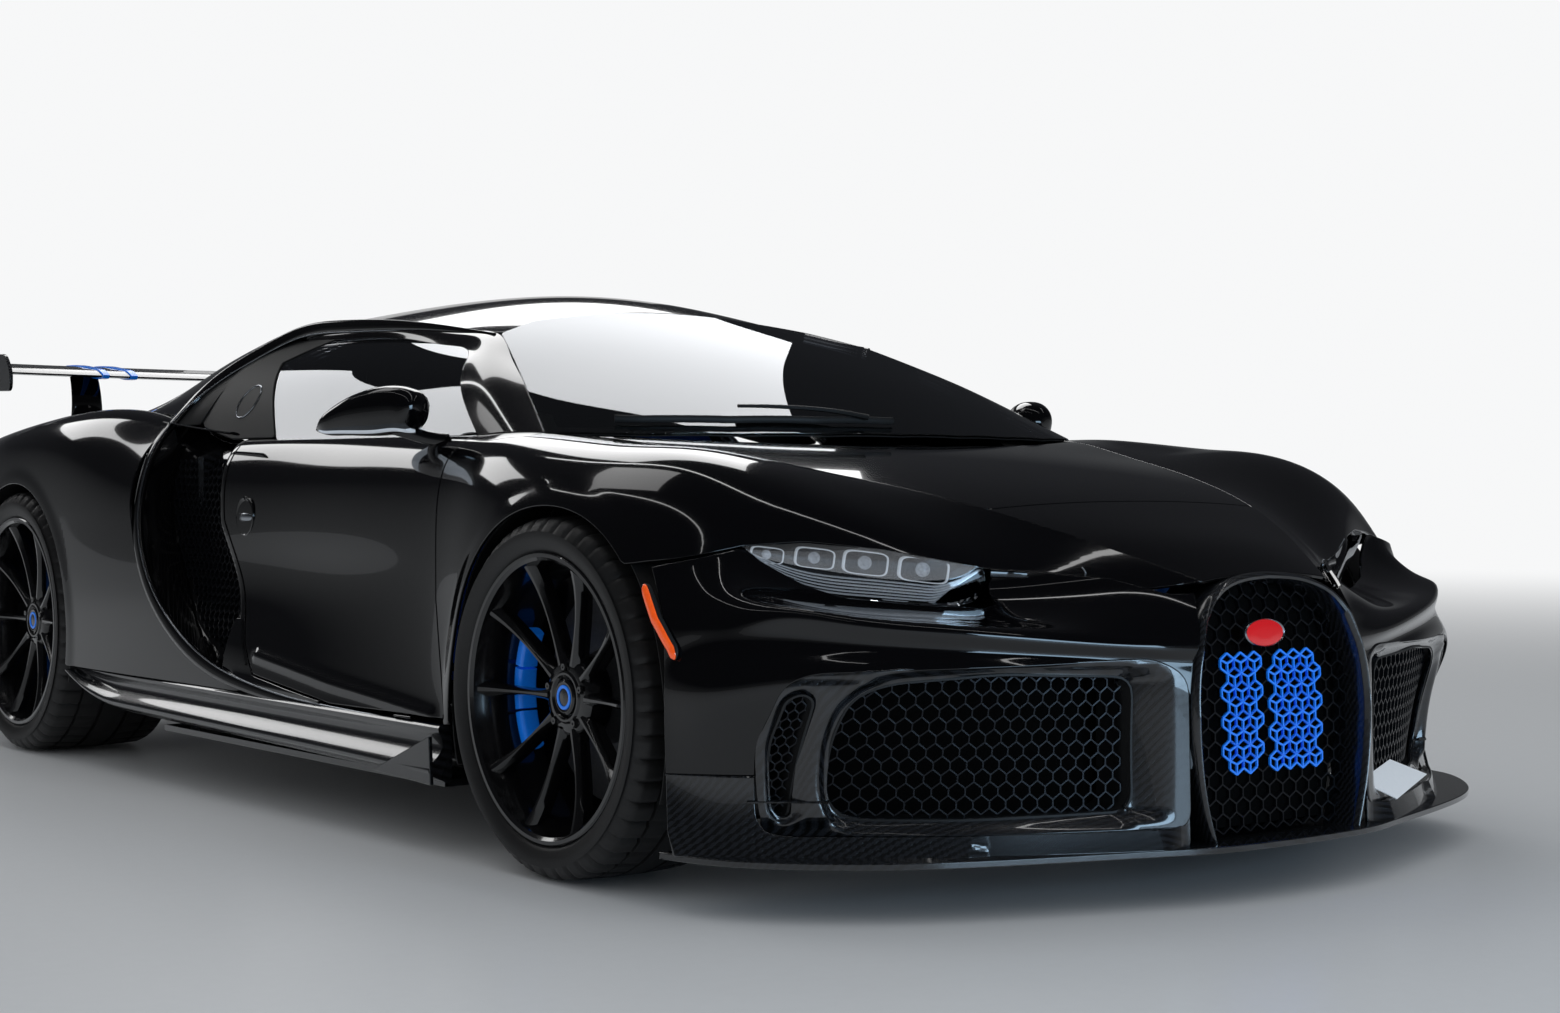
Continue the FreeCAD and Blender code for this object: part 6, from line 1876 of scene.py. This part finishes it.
@dataclass
class Sides(SubAssembly):
    """Sills, skirts, side intakes, side markers, door handles and the line of the fuel flap.

    Attributes:
        masters: the body's surfaces.
    """

    masters: Masters = field(default_factory=Masters)

    def build(self) -> None:
        """Builds the flanks' trim."""
        self.sills()
        self.skirts()
        self.side_intakes()
        self.markers()
        self.handles()
        self.fuel_ring()

    def sills(self) -> None:
        """Band of body colour between the door's foot and the skirt."""
        g = ridged(self.masters.flank, [(60, 284), (-894, 252)], 7.0, 11.0)
        y, z = g[..., 1], g[..., 2]
        keep = common(-inside(y, z, DOOR_OUTLINE) - DOOR_GAP, z - 258.5, 420 - z, y + 784, 120 - y, -behind_wrap(y, z))
        self.add("sill_skins", both(cut(g, keep, Facing.LEFT, 6.0)), "paint")

    def skirts(self) -> None:
        """Skirt with its hollow flank over a blade that rises towards the tail, and the plate at its front end."""
        section = [(966, 256.5), (985, 256.3), (994, 250), (984, 226), (987, 204), (1004, 184), (1013, 172),
                   (1014.5, 165), (1009, 157), (985, 146), (966, 140)]
        y = np.linspace(-902, 1003, 40)[:, None]
        shape = curve(section + section[:1], 61)[:-1]
        low = np.clip((256 - shape[:, 1]) / 90, 0, 1)
        x = shape[:, 0] + np.interp(y, [-902, -400, 800, 1003], [2, -3, -3, 3]) * low
        z = shape[:, 1] + low * (22 * (y + 902) / 1905 + 60 * np.clip((y - 700) / 303, 0, 1) ** 2)
        sections = np.stack(np.broadcast_arrays(x, y, z), -1)
        self.add("skirt_skins", both(tube(sections)), "carbon", replaces=["side_skirts"], smooth=40)
        front = [(-664, 147), (-900, 236), (-906, 138)]
        self.add("skirt_plates", both(side_plate(front, 1006, 1015)), "carbon", bevel=Bevel.SOFT)

    def hollow_top(self, y: Array) -> Array:
        """Height of the side intake's upper edge."""
        return 853 + (y - 218) * 0.077

    def side_intakes(self) -> None:
        """Smooth dark hollow behind the door, its honeycomb, and the thin blade over it."""
        g = self.masters.flank
        y, z = g[..., 1], g[..., 2]
        away = -inside(y, z, DOOR_OUTLINE)
        grid = g.copy()
        grid[..., 0] -= 58 * eased((away - 20) / 60)
        keep = common(away - 4, 4 - behind_wrap(y, z), self.hollow_top(y) - z + 3, z - 262, y + 20)
        self.add("side_intake_skins", both(cut(grid, keep, Facing.LEFT, 5.0, 1.5)), "trim", replaces=["side_intakes"])
        lines = honeycomb(24.0, 19.0, 9.0, (120, 640, 330, 760))
        u, v = lines[..., 0], lines[..., 1]
        fits = common(-inside(u, v, DOOR_OUTLINE) - 78, -behind_wrap(u, v) - 8, self.hollow_top(u) - v - 30)
        kept = lines[fits.min(1) > 0]
        net = side_points(kept, on_grid(g, 0, kept[..., 0], kept[..., 1]) - 55)
        self.add("side_intake_nets", both(rods(net, (1, 0, 0), 2.6, 5.0)), "mesh")
        blade = curve([(906, 216, 853), (898, 380, 864), (884, 560, 878), (868, 706, 890)], 40)
        self.add("quarter_blades", both(sweep(blade, oval(8, 26, 14), LEAN, np.linspace(1, 0.5, 40))), "trim")

    def markers(self) -> None:
        """Orange side markers with rounded ends in a dark surround."""
        t = np.linspace(0, 1, 28)
        y, z = -1657 - 75 * t, 565 - 127 * t
        x = np.maximum(on_grid(self.masters.fender, 0, y, z), on_grid(self.masters.bumper, 0, y, z))
        path = np.column_stack([np.minimum(x + 3.0, 1017), y, z])
        ends = np.sqrt(np.clip(1 - (2 * np.abs(t - 0.5)) ** 8, 0.02, 1))
        # The marker's glow is painted brightness.
        self.add("side_markers", both(sweep(path, oval(21, 14, 20), (1, 0, 0), ends)), "marker", slot="tail_lamp")
        self.add("marker_surrounds", both(sweep(path - (3.0, 0, 0), oval(28, 13, 20), (1, 0, 0), ends)), "plastic")

    def handles(self) -> None:
        """Round door bowls, each with its bar across."""
        y, z = 134.0, 658.0
        x = float(on_grid(self.masters.flank, 0, y, z))
        bowl = [(x - 14, 0.5), (x - 13, 18), (x - 8, 32), (x + 1, 41), (x + 2.4, 43), (x + 1.6, 46), (x - 2, 47),
                (x - 24, 46), (x - 24, 0.5)]
        self.add_pair("handle_bowl", turned(bowl, 64).moved((0, y, z)), "trim")
        run = np.linspace(-1, 1, 30)
        path = np.column_stack([x - 6 + 7 * (1 - run**2), y + 40 * run, z - 2 + 0 * run])
        grip = sweep(path, oval(10, 20, 18, 2.4), size=0.55 + 0.45 * (1 - run**2))
        self.add_pair("handle_grip", grip, "silver", slot="trim")

    def fuel_ring(self) -> None:
        """Round flap line on both quarter panels."""
        t = np.linspace(0, 2 * math.pi, 48, endpoint=False)
        y, z = 402 + 46 * np.cos(t), 936 + 40 * np.sin(t)
        path = np.column_stack([on_grid(cabin_side(), 0, y, z) + 0.5, y, z])
        self.add("fuel_flap_lines", both(sweep(path, oval(5, 4, 8), (1, 0, 0.5), ring=True)), "silver", slot="trim")


def cabin_side() -> Array:
    """Curved side of the cabin that holds the side glass."""
    return surface(stations(
        (-812, (834, 834), (735, 965), (560, 1072)), (-400, (834, 834), (722, 975), (538, 1074)),
        (0, (834, 834), (732, 990), (556, 1099)), (288, (834, 834), (738, 995), (574, 1112)),
        (600, (822, 884), (735, 1003), (606, 1109))), 130, 60)


@dataclass
class Mirrors(SubAssembly):
    """Swept mirrors on the doors, each a head on a slim arm with a bright line under it."""

    def build(self) -> None:
        """Builds both mirrors: the head's middle height, width and height are splines of the way out."""
        run = np.array([0, 0.04, 0.15, 0.35, 0.6, 0.8, 0.93, 1.0])
        fine = np.concatenate([np.linspace(0, 0.15, 14)[:-1], np.linspace(0.15, 1, 40)])
        m = spline_matrix(run, fine)
        middle = m @ np.array([874, 878, 889, 890, 881, 868, 857, 851.0])
        wide = np.maximum(m @ np.array([34, 70, 98, 104, 96, 74, 44, 8.0]), 3)
        high = np.maximum(m @ np.array([30, 66, 98, 104, 88, 62, 34, 6.0]), 3)
        path = np.column_stack([884 + 133.5 * fine, -650 + 222 * fine, middle])
        self.add_pair("mirror_head", sweep(path, oval(1, 1, 36, 2.4), size=np.column_stack([wide, high])), "paint",
                      replaces="mirror", smooth=60)
        foot = path + np.column_stack([0 * fine, 0 * fine, -0.5 * high + 9])
        line = sweep(foot[6:-3], oval(1, 9, 12), size=np.column_stack([wide * 1.03, 0 * fine + 1])[6:-3])
        slim = np.column_stack([np.linspace(1.6, 1.0, 24), np.linspace(0.5, 0.62, 24)])
        arm = sweep(curve([(925, -596, 852), (896, -622, 842), (872, -652, 832), (850, -690, 826)], 24),
                    oval(18, 50, 18, 2.4), size=slim)
        glass = set_up(dish(oval(76, 62, 32, 3.0), [(1, -2), (1, 1), (0.96, 2), (0.05, 2)]), (912, -560, 889),
                       (0.5, 0.86, 0), (-0.55, 0.83, 0.02))
        # The bright line's glowing finish paints its highlight.
        self.add_pair("mirror_line", line, "bezel", slot="trim")
        self.add_pair("mirror_arm", arm, "paint")
        self.add_pair("mirror_glass", glass, "silver", slot="glass")


@dataclass
class Cabin(SubAssembly):
    """Seats, dashboard, steering wheel and wiper."""

    def build(self) -> None:
        """Builds the cabin."""
        self.seats()
        self.dash()
        self.wheel()
        self.wiper()

    def seats(self) -> None:
        """Bucket seats: a bolstered pad swept from the knees up over the back, with its head rest."""
        spine = curve([(0, -400, 300), (0, -250, 268), (0, -60, 262), (0, 40, 300), (0, 105, 420), (0, 190, 640),
                       (0, 245, 780), (0, 290, 905)], 60)
        run = np.linspace(0, 1, 60)
        half = np.interp(run, [0, 0.3, 0.55, 0.8, 0.93, 1], [215, 225, 225, 205, 130, 100])
        bolster = np.interp(run, [0, 0.15, 0.4, 0.55, 0.8, 1], [30, 62, 70, 66, 60, 14])
        tangent = unit(np.gradient(spine, axis=0))
        normal = np.stack([0 * run, -tangent[:, 2], tangent[:, 1]], 1)
        s = np.linspace(-1, 1, 41)
        lift = bolster[:, None] * np.abs(s) ** 3 + 6 * np.sin(run[:, None] * math.pi * 16) ** 2 * (np.abs(s) < 0.62)
        upper = spine[:, None] + normal[:, None] * lift[..., None]
        upper[..., 0] += half[:, None] * s
        thick = np.interp(np.abs(s[::-1]), [0, 0.8, 1], [70, 70, 46])
        pad = tube(np.concatenate([upper, upper[:, ::-1] - normal[:, None] * thick[None, :, None]], 1))
        for side, x, nodes in (("left", 385, ["seats"]), ("right", -385, [])):
            piece = self.add("seat_" + side, pad.moved((x, 0, 0)), "leather", replaces=nodes, smooth=60)
            shell = Shape(pad.points * (1.03, 1, 1) + (x, 16, -14), quads=pad.quads, caps=pad.caps)
            self.add("seat_shell_" + side, shell, "carbon", smooth=60)

    def dash(self) -> None:
        """Dashboard roll with its hood over the instruments, a leather band along it and a slim screen."""
        section = curve([(-850, 600), (-851, 755), (-800, 800), (-640, 792), (-575, 745), (-562, 690), (-600, 640),
                         (-700, 600), (-850, 600)], 49)[:-1]
        x = np.linspace(-628, 628, 60)[:, None]
        lift = 20 * np.exp(-((x - 380) / 150) ** 2) * np.clip((section[:, 1] - 700) / 90, 0, 1)
        grid = np.stack(np.broadcast_arrays(x, section[:, 0], section[:, 1] + lift), -1)
        self.add("dash_skin", tube(grid), "dash", replaces=["dashboard"], smooth=50)
        band = curve([(-590, -556, 730), (-300, -556, 736), (0, -548, 732), (300, -556, 736), (590, -556, 730)], 50)
        self.add("dash_band", sweep(band, oval(10, 30, 14, 3.0)), "leather")
        self.add("dash_screen", sweep(band[6:18], oval(6, 18, 10, 3.0)).moved((-20, -8, 34)), "silver", slot="dash")

    def wheel(self) -> None:
        """Steering wheel: a flat-bottomed rim, three arms and a round pad."""
        t = np.linspace(0, 2 * math.pi, 72, endpoint=False)
        radius = 176 - 16 * np.clip(-np.sin(t) - 0.8, 0, 1) / 0.2
        rim = sweep(np.column_stack([radius * np.cos(t), radius * np.sin(t), 0 * t]), oval(26, 30, 16), ring=True)
        arms = [sweep(np.array([(40 * c, 40 * s, -6), (110 * c, 110 * s, -8), (165 * c, 165 * s, 0)]), oval(34, 10, 14))
                for c, s in ((1, 0), (-1, 0), (0, -1))]
        hub = dish(oval(110, 100, 36, 2.6), [(0.05, 16), (0.7, 15), (0.95, 8), (1, -4), (0.8, -26), (0.3, -60),
                                             (0.3, -150)])
        made = joined([set_up(one, (380, -432, 655), (1, 0, 0), (0, 0.927, 0.375)) for one in [rim, hub] + arms])
        self.add("wheel_skin", made, "plastic", replaces=["steering_wheel"], smooth=60)

    def wiper(self) -> None:
        """Parked wiper: an arm from the cowl and a blade along the screen's foot."""
        foot = np.asarray(SCREEN_HALF, float)[::-1]
        x = np.linspace(-600, 20, 40)
        y = np.interp(np.abs(x), foot[:, 0], foot[:, 1]) + 46
        blade = sweep(np.column_stack([x, y, screen_height(x, y) + 12]), oval(9, 16, 12))
        arm = curve([(-60, -1118, 842), (-120, -1080, 872), (-230, -1040, 893), (-330, -1012, 900)], 24)
        arm[:, 2] = screen_height(arm[:, 0], arm[:, 1]) + 24
        arm = sweep(arm, oval(22, 10, 12, 3.0), size=np.linspace(1.2, 0.7, 24))
        self.add("wiper", joined([blade, arm]), "plastic")


@dataclass
class Tail(SubAssembly):
    """Tail net, light bar, diffuser, exhaust, wing with its coloured sleeves, and the blank plate."""

    def build(self) -> None:
        """Builds the tail."""
        outline = rounded([(-880, 424), (880, 424), (897, 560), (872, 698), (640, 818), (-640, 818), (-872, 698),
                           (-897, 560)], 40)
        kept = within(honeycomb(44.0, 33.0, 18.0, (-900, 900, 420, 830)), outline, -4)
        back = plate(front_points(outline, 2189.5), (0, 4.5, 0))
        self.add("tail_net", joined([rods(front_points(kept, 2208.0), (0, 1, 0), 3.0, 8.0), back]), "mesh",
                 replaces=["tail_panel"])
        rim = even_loop(outline, 240)
        self.add("tail_rim", hoop([front_points(inset(rim, k), y) for k, y in
                                   ((-3, 2190), (-3, 2214), (0, 2218), (8, 2218), (10, 2214), (10, 2190))]),
                 "trim", smooth=50)
        bar = curve([(-780, 2219, 748), (-400, 2224, 756), (0, 2226, 759), (400, 2224, 756), (780, 2219, 748)], 80)
        self.add("light_bar", sweep(bar, oval(14, 15, 16, 3.0)), "tail_lamp", replaces=["tail_lamp"])
        self.add("light_bar_back", sweep(bar - (0, 8, 0), oval(14, 40, 16, 4.0)), "trim")
        self.exhaust()
        self.diffuser()
        self.apron()
        self.wing()
        self.blank_plate()

    def blank_plate(self) -> None:
        """Blank pale plate that leans on the splitter beside the grille."""
        face = np.array([(245, -2196, 180), (432, -2118, 200), (548, -2118, 162), (356, -2196, 137)], float)
        # The plate's lacquer glows faintly: painted brightness.
        self.add("blank_plate", plate(face, (0, 2, -2)), "white_enamel", slot="plastic", bevel=Bevel.FINE)

    def exhaust(self) -> None:
        """Two bright pipes with rolled lips in a dark oval surround."""
        lip = ((52, 2100), (52, 2240), (51, 2246), (48, 2248), (45, 2246), (44, 2238), (44, 2100))
        pipes = [hoop([front_points(oval(2 * r, 2 * r, 48) + (x, 500), y) for r, y in lip]) for x in (-60, 60)]
        self.add("exhaust_pipes", joined(pipes), "exhaust", replaces=["exhaust"], smooth=50)
        corners = np.array([(-112, 448), (112, 448), (112, 552), (-112, 552)])
        away = np.array([(-1, -1), (1, -1), (1, 1), (-1, 1)])
        surround = hoop([front_points(even_loop(rounded(corners + grow * away, 60 + grow), 120), y) for grow, y in
                         ((20, 2196), (20, 2224), (16, 2230), (8, 2230), (4, 2222), (4, 2196))])
        self.add("exhaust_surround", surround, "carbon", smooth=50)

    def diffuser(self) -> None:
        """Floor that rises by share^1.6 towards the tail, with six upright fins under it."""
        share = np.linspace(0, 1, 40)
        y = 1746 + 494 * share
        z = 157 + 180 * share**1.6
        grid = np.stack(np.broadcast_arrays(np.linspace(-758, 758, 60), y[:, None], z[:, None]), -1)
        floor = cut(grid, None, Facing.UP, 8.0, 3.0)
        low = np.maximum(142 + 50 * share, z - 72)
        fin = np.concatenate([np.column_stack([y, z - 2]), np.column_stack([y, low])[::-1]])
        fins = [side_plate(fin, x - 5, x + 5) for x in (-748, -450, -180, 180, 450, 748)]
        self.add("diffuser_skin", joined([Shape(floor.points, floor.tris, floor.quads)] + fins), "carbon",
                 replaces=["diffuser"], bevel=Bevel.SOFT)

    def apron(self) -> None:
        """Apron between the tail net and the diffuser's edge, ruled from one to the other and bowed between."""
        x = np.linspace(-1, 1, 60)
        top = np.column_stack([884 * x, 2196 - 20 * x**4, 426 + 0 * x])
        foot = np.column_stack([764 * x, 2226 - 34 * x**4, 333 + 0 * x])
        share = np.linspace(0, 1, 14)[:, None, None]
        grid = top * (1 - share) + foot * share + np.array([0.0, 14.0, 0.0]) * np.sin(math.pi * share)
        self.add("tail_apron", cut(grid, None, Facing.BACK, 5.0), "carbon")

    def wing(self) -> None:
        """Wing of an aerofoil section that sags by 6 (1 - (x / half)^2), its end plates, stems and coloured sleeves."""
        half = 799
        upper = [(1973, 1062), (2010, 1077), (2062, 1085), (2122, 1092), (2180, 1097), (2271, 1099)]
        lower = [(2270, 1093), (2180, 1084), (2122, 1074), (2062, 1062), (2010, 1056), (1978, 1057)]
        section = np.concatenate([curve(upper, 30), curve(lower, 30)])
        x = np.linspace(-half, half, 60)[:, None]
        dip = -6 * (1 - (x / half) ** 2)
        grid = np.stack(np.broadcast_arrays(x, section[:, 0], section[:, 1] + dip), -1)
        self.add("wing_blade", tube(grid), "carbon", replaces=["rear_wing"], smooth=40)
        ends = rounded([(1964, 1004), (2266, 1012), (2270, 1126), (2004, 1116), (1960, 1062)], 24)
        self.add("wing_ends", both(side_plate(ends, half + 1, half + 12)), "carbon", bevel=Bevel.SOFT)
        path = curve([(0, 2108, 880), (0, 2096, 960), (0, 2108, 1030), (0, 2128, 1076)], 30)
        stem = sweep(path, oval(16, 104, 24), (1, 0, 0), np.column_stack([np.ones(30), np.linspace(1.0, 0.85, 30)]))
        self.add("wing_stems", both(stem.moved((520, 0, 0))), "paint", smooth=50)
        grown = np.minimum(inset(section, -4.0), (TAIL - 1, 2000))
        sleeves = []
        for place in (418, 508):
            rings = [side_points(shape, place + away)
                     for away, shape in ((-12, section), (-10, grown), (10, grown), (12, section))]
            sleeves.append(tube(np.stack(rings)).moved((0, 0, -6 * (1 - (place / half) ** 2))))
        self.add("wing_sleeves", both(joined(sleeves)), "blue", replaces=["wing_rings"], smooth=40)


WHITE = (0.93, 0.935, 0.94, 1.0)


class Studio:
    """Floor, backdrop, lamps and camera."""

    def build(self) -> None:
        """Sets the stage."""
        self.floor()
        self.world()
        self.lamps()
        self.camera()

    def floor(self) -> None:
        """Pale polished floor, a square with a fine even grain in its gloss."""
        side = 60.0
        mesh = bpy.data.meshes.new("floor")
        mesh.from_pydata([(-side, -side, 0), (side, -side, 0), (side, side, 0), (-side, side, 0)], [], [(0, 1, 2, 3)])
        ground = bpy.data.objects.new("floor", mesh)
        bpy.context.scene.collection.objects.link(ground)
        mesh.materials.append(self.floor_resin())

    def floor_resin(self) -> bpy.types.Material:
        """Poured pale resin, greyer under the car; far off it turns to the backdrop's white for the eye, by its
        distance from the car."""
        made = Finish("floor_resin", "#cfd1d3", "#cbcdcf", 0.30, grain=30.0, bump=0.0, specular=0.12).material()
        tree = made.node_tree
        where = add_node(tree, "ShaderNodeTexCoord").outputs["Object"]
        away = add_node(tree, "ShaderNodeVectorMath", {0: where}, operation="LENGTH").outputs["Value"]
        share = add_node(tree, "ShaderNodeMapRange", {"Value": away, "From Min": 3.6, "From Max": 15.0},
                         interpolation_type="SMOOTHSTEP").outputs[0]
        path = add_node(tree, "ShaderNodeLightPath")
        seen = add_node(tree, "ShaderNodeMath", {0: share, 1: path.outputs["Is Camera Ray"]},
                        operation="MULTIPLY").outputs[0]
        white = add_node(tree, "ShaderNodeEmission", {"Color": WHITE, "Strength": 1.0})
        out = next(n for n in tree.nodes if n.type == "OUTPUT_MATERIAL")
        plain = out.inputs["Surface"].links[0].from_socket
        mixed = add_node(tree, "ShaderNodeMixShader", {0: seen, 1: plain, 2: white.outputs[0]})
        tree.links.new(mixed.outputs[0], out.inputs["Surface"])
        return made

    def world(self) -> None:
        """White to the eye, a dim grey that darkens overhead in what the paint mirrors, plain grey light else."""
        world = bpy.data.worlds.new("studio")
        world.use_nodes = True
        tree = world.node_tree
        tree.nodes.clear()
        path = add_node(tree, "ShaderNodeLightPath")
        where = add_node(tree, "ShaderNodeTexCoord").outputs["Generated"]
        up = add_node(tree, "ShaderNodeSeparateXYZ", {0: where}).outputs[2]
        ramp = add_node(tree, "ShaderNodeValToRGB", {0: up})
        ramp.color_ramp.elements[0].position, ramp.color_ramp.elements[0].color = 0.0, (0.13, 0.135, 0.14, 1)
        ramp.color_ramp.elements[1].position, ramp.color_ramp.elements[1].color = 0.22, (0.022, 0.023, 0.026, 1)
        mirrored = add_node(tree, "ShaderNodeMath", {0: path.outputs["Is Glossy Ray"],
                                                     1: path.outputs["Is Transmission Ray"]},
                            operation="MAXIMUM").outputs[0]
        soft = add_node(tree, "ShaderNodeBackground", {"Color": (0.62, 0.63, 0.64, 1), "Strength": 1.0})
        seen = add_node(tree, "ShaderNodeBackground", {"Color": ramp.outputs[0], "Strength": 1.0})
        white = add_node(tree, "ShaderNodeBackground", {"Color": WHITE, "Strength": 1.0})
        first = add_node(tree, "ShaderNodeMixShader", {0: mirrored, 1: soft.outputs[0], 2: seen.outputs[0]})
        last = add_node(tree, "ShaderNodeMixShader", {0: path.outputs["Is Camera Ray"], 1: first.outputs[0],
                                                      2: white.outputs[0]})
        add_node(tree, "ShaderNodeOutputWorld", {"Surface": last.outputs[0]})
        bpy.context.scene.world = world

    def lamps(self) -> None:
        """One broad soft box behind the car, which the glass and the shoulders mirror, thin lines along the ceiling and
        a small cool box ahead. Each is given as place, aim, size, brightness and colour."""
        for name, place, aim, size, bright, colour in (
            ("back_box", (4.9, 8.0, 7.6), (0.9, 0.0, 0.8), (5.6, 5.6), 2.6, (1.0, 1.0, 1.0)),
            ("back_low", (4.1, 8.0, 2.6), (0.4, 0.0, 0.8), (3.0, 1.2), 0.45, (1.0, 1.0, 1.0)),
            ("side_box", (-1.8, 8.0, 4.7), (-1.0, 0.0, 0.8), (2.8, 2.2), 2.6, (1.0, 1.0, 1.0)),
            ("over_box", (-1.4, 3.9, 8.2), (-0.8, -0.7, 0.9), (3.0, 2.6), 1.5, (1.0, 1.0, 1.0)),
            ("line_near", (-2.6, -1.0, 5.4), (-2.6, -1.0, 0.0), (0.07, 12.0), 4.0, (1.0, 1.0, 1.0)),
            ("line_middle", (0.2, -1.0, 5.4), (0.2, -1.0, 0.0), (0.10, 12.0), 5.0, (1.0, 1.0, 1.0)),
            ("line_far", (3.0, -4.0, 5.4), (3.0, -4.0, 0.0), (0.10, 6.0), 5.0, (1.0, 1.0, 1.0)),
            ("cool_box", (-0.3, -7.5, 1.1), (-0.3, 0.0, 0.5), (2.6, 1.6), 8.0, (0.52, 0.76, 1.0)),
        ):
            lamp = bpy.data.lights.new(name, "AREA")
            lamp.shape = "RECTANGLE"
            lamp.size, lamp.size_y = size
            lamp.energy = bright * math.pi * size[0] * size[1]
            lamp.color = colour
            thing = bpy.data.objects.new(name, lamp)
            bpy.context.scene.collection.objects.link(thing)
            thing.location = place
            ahead = np.asarray(aim, float) - np.asarray(place, float)
            thing.rotation_euler = to_euler(ahead)
            thing.visible_camera = False

    def camera(self) -> None:
        """Camera at the photograph's place: behind the right front corner, level, with a medium-long lens."""
        lens = bpy.data.cameras.new("camera")
        lens.lens, lens.sensor_width = 55.83, 36.0
        eye = bpy.data.objects.new("camera", lens)
        bpy.context.scene.collection.objects.link(eye)
        eye.location = (-3.39715, -5.12294, 0.75362)
        eye.rotation_euler = (math.radians(90 - 0.733), 0.0, math.radians(-37.707))
        bpy.context.scene.camera = eye


def to_euler(ahead: Array) -> tuple:
    """Turn that points an object's -Z along a direction."""
    return Vector(ahead).to_track_quat("-Z", "Y").to_euler()


NODE_FINISH = {
    "tub": "carbon", "front_frame": "alloy", "rear_frame": "alloy", "wheel_liners": "plastic", "undertray": "plastic",
    "cabin_frame": "trim", "front_wishbones": "alloy", "rear_wishbones": "alloy", "rear_uprights": "alloy",
    "knuckle_left": "alloy", "knuckle_right": "alloy", "engine": "alloy", "exhaust": "exhaust", "diffuser": "carbon",
    "cowl": "plastic", "dashboard": "dash", "steering_wheel": "plastic", "seats": "leather", "splitter": "carbon",
    "side_skirts": "carbon", "grille": "mesh", "grille_ring": "trim", "intake_mesh": "mesh", "intake_frames": "carbon",
    "side_intakes": "mesh", "tail_panel": "mesh", "tail_lamp": "tail_lamp", "rear_wing": "paint", "wing_rings": "blue",
    "headlamps": "lamp", "mirror_left": "paint", "mirror_right": "paint", "quarter_panels": "trim", "c_bars": "trim",
    "caliper_left": "blue", "caliper_right": "blue", "rear_calipers": "blue",
}


def dress_nodes(nodes: dict, finishes: Finishes) -> None:
    """Gives every CAD node a finish of its own kind.

    Args:
        nodes: the frame's nodes by name.
        finishes: the car's finishes.
    """
    for name, thing in nodes.items():
        kind = NODE_FINISH.get(name)
        if kind is None:
            kind = "disc" if name.startswith("brake_disc") else "tyre" if name.startswith("tyre") else \
                "wheel" if name.startswith("rim") else "glass" if "glass" in name or name == "windscreen" else "paint"
        thing.data.materials.clear()
        thing.data.materials.append(finishes[kind])


def main() -> None:
    """Builds the car's looks in order."""
    logging.basicConfig(level=logging.INFO, format="%(message)s")
    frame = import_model()
    scene = bpy.context.scene
    scene.view_settings.view_transform = "Standard"
    finishes = Finishes()
    dress_nodes(frame["nodes"], finishes)
    Studio().build()
    masters = Masters()
    wheels = [
        Wheel(finishes, "fl", Body.WHEEL_FL),
        Wheel(finishes, "fr", Body.WHEEL_FR, side=-1),
        Wheel(finishes, "rl", Body.WHEEL_RL, (833.0, REAR_AXLE, 355.5), 1, 355.5, 278.0, 355.0),
        Wheel(finishes, "rr", Body.WHEEL_RR, (833.0, REAR_AXLE, 355.5), -1, 355.5, 278.0, 355.0),
    ]
    parts = [BodyPanels(finishes, masters), Glasshouse(finishes), Doors(finishes, masters),
             Headlamps(finishes, masters), Grille(finishes), Intakes(finishes, masters), Splitter(finishes, masters),
             Sides(finishes, masters), Mirrors(finishes), Cabin(finishes), Tail(finishes), Calipers(finishes)]
    for part in parts + wheels:
        part.build()
        log.info("built %s", type(part).__name__)


if __name__ == "__main__":
    main()
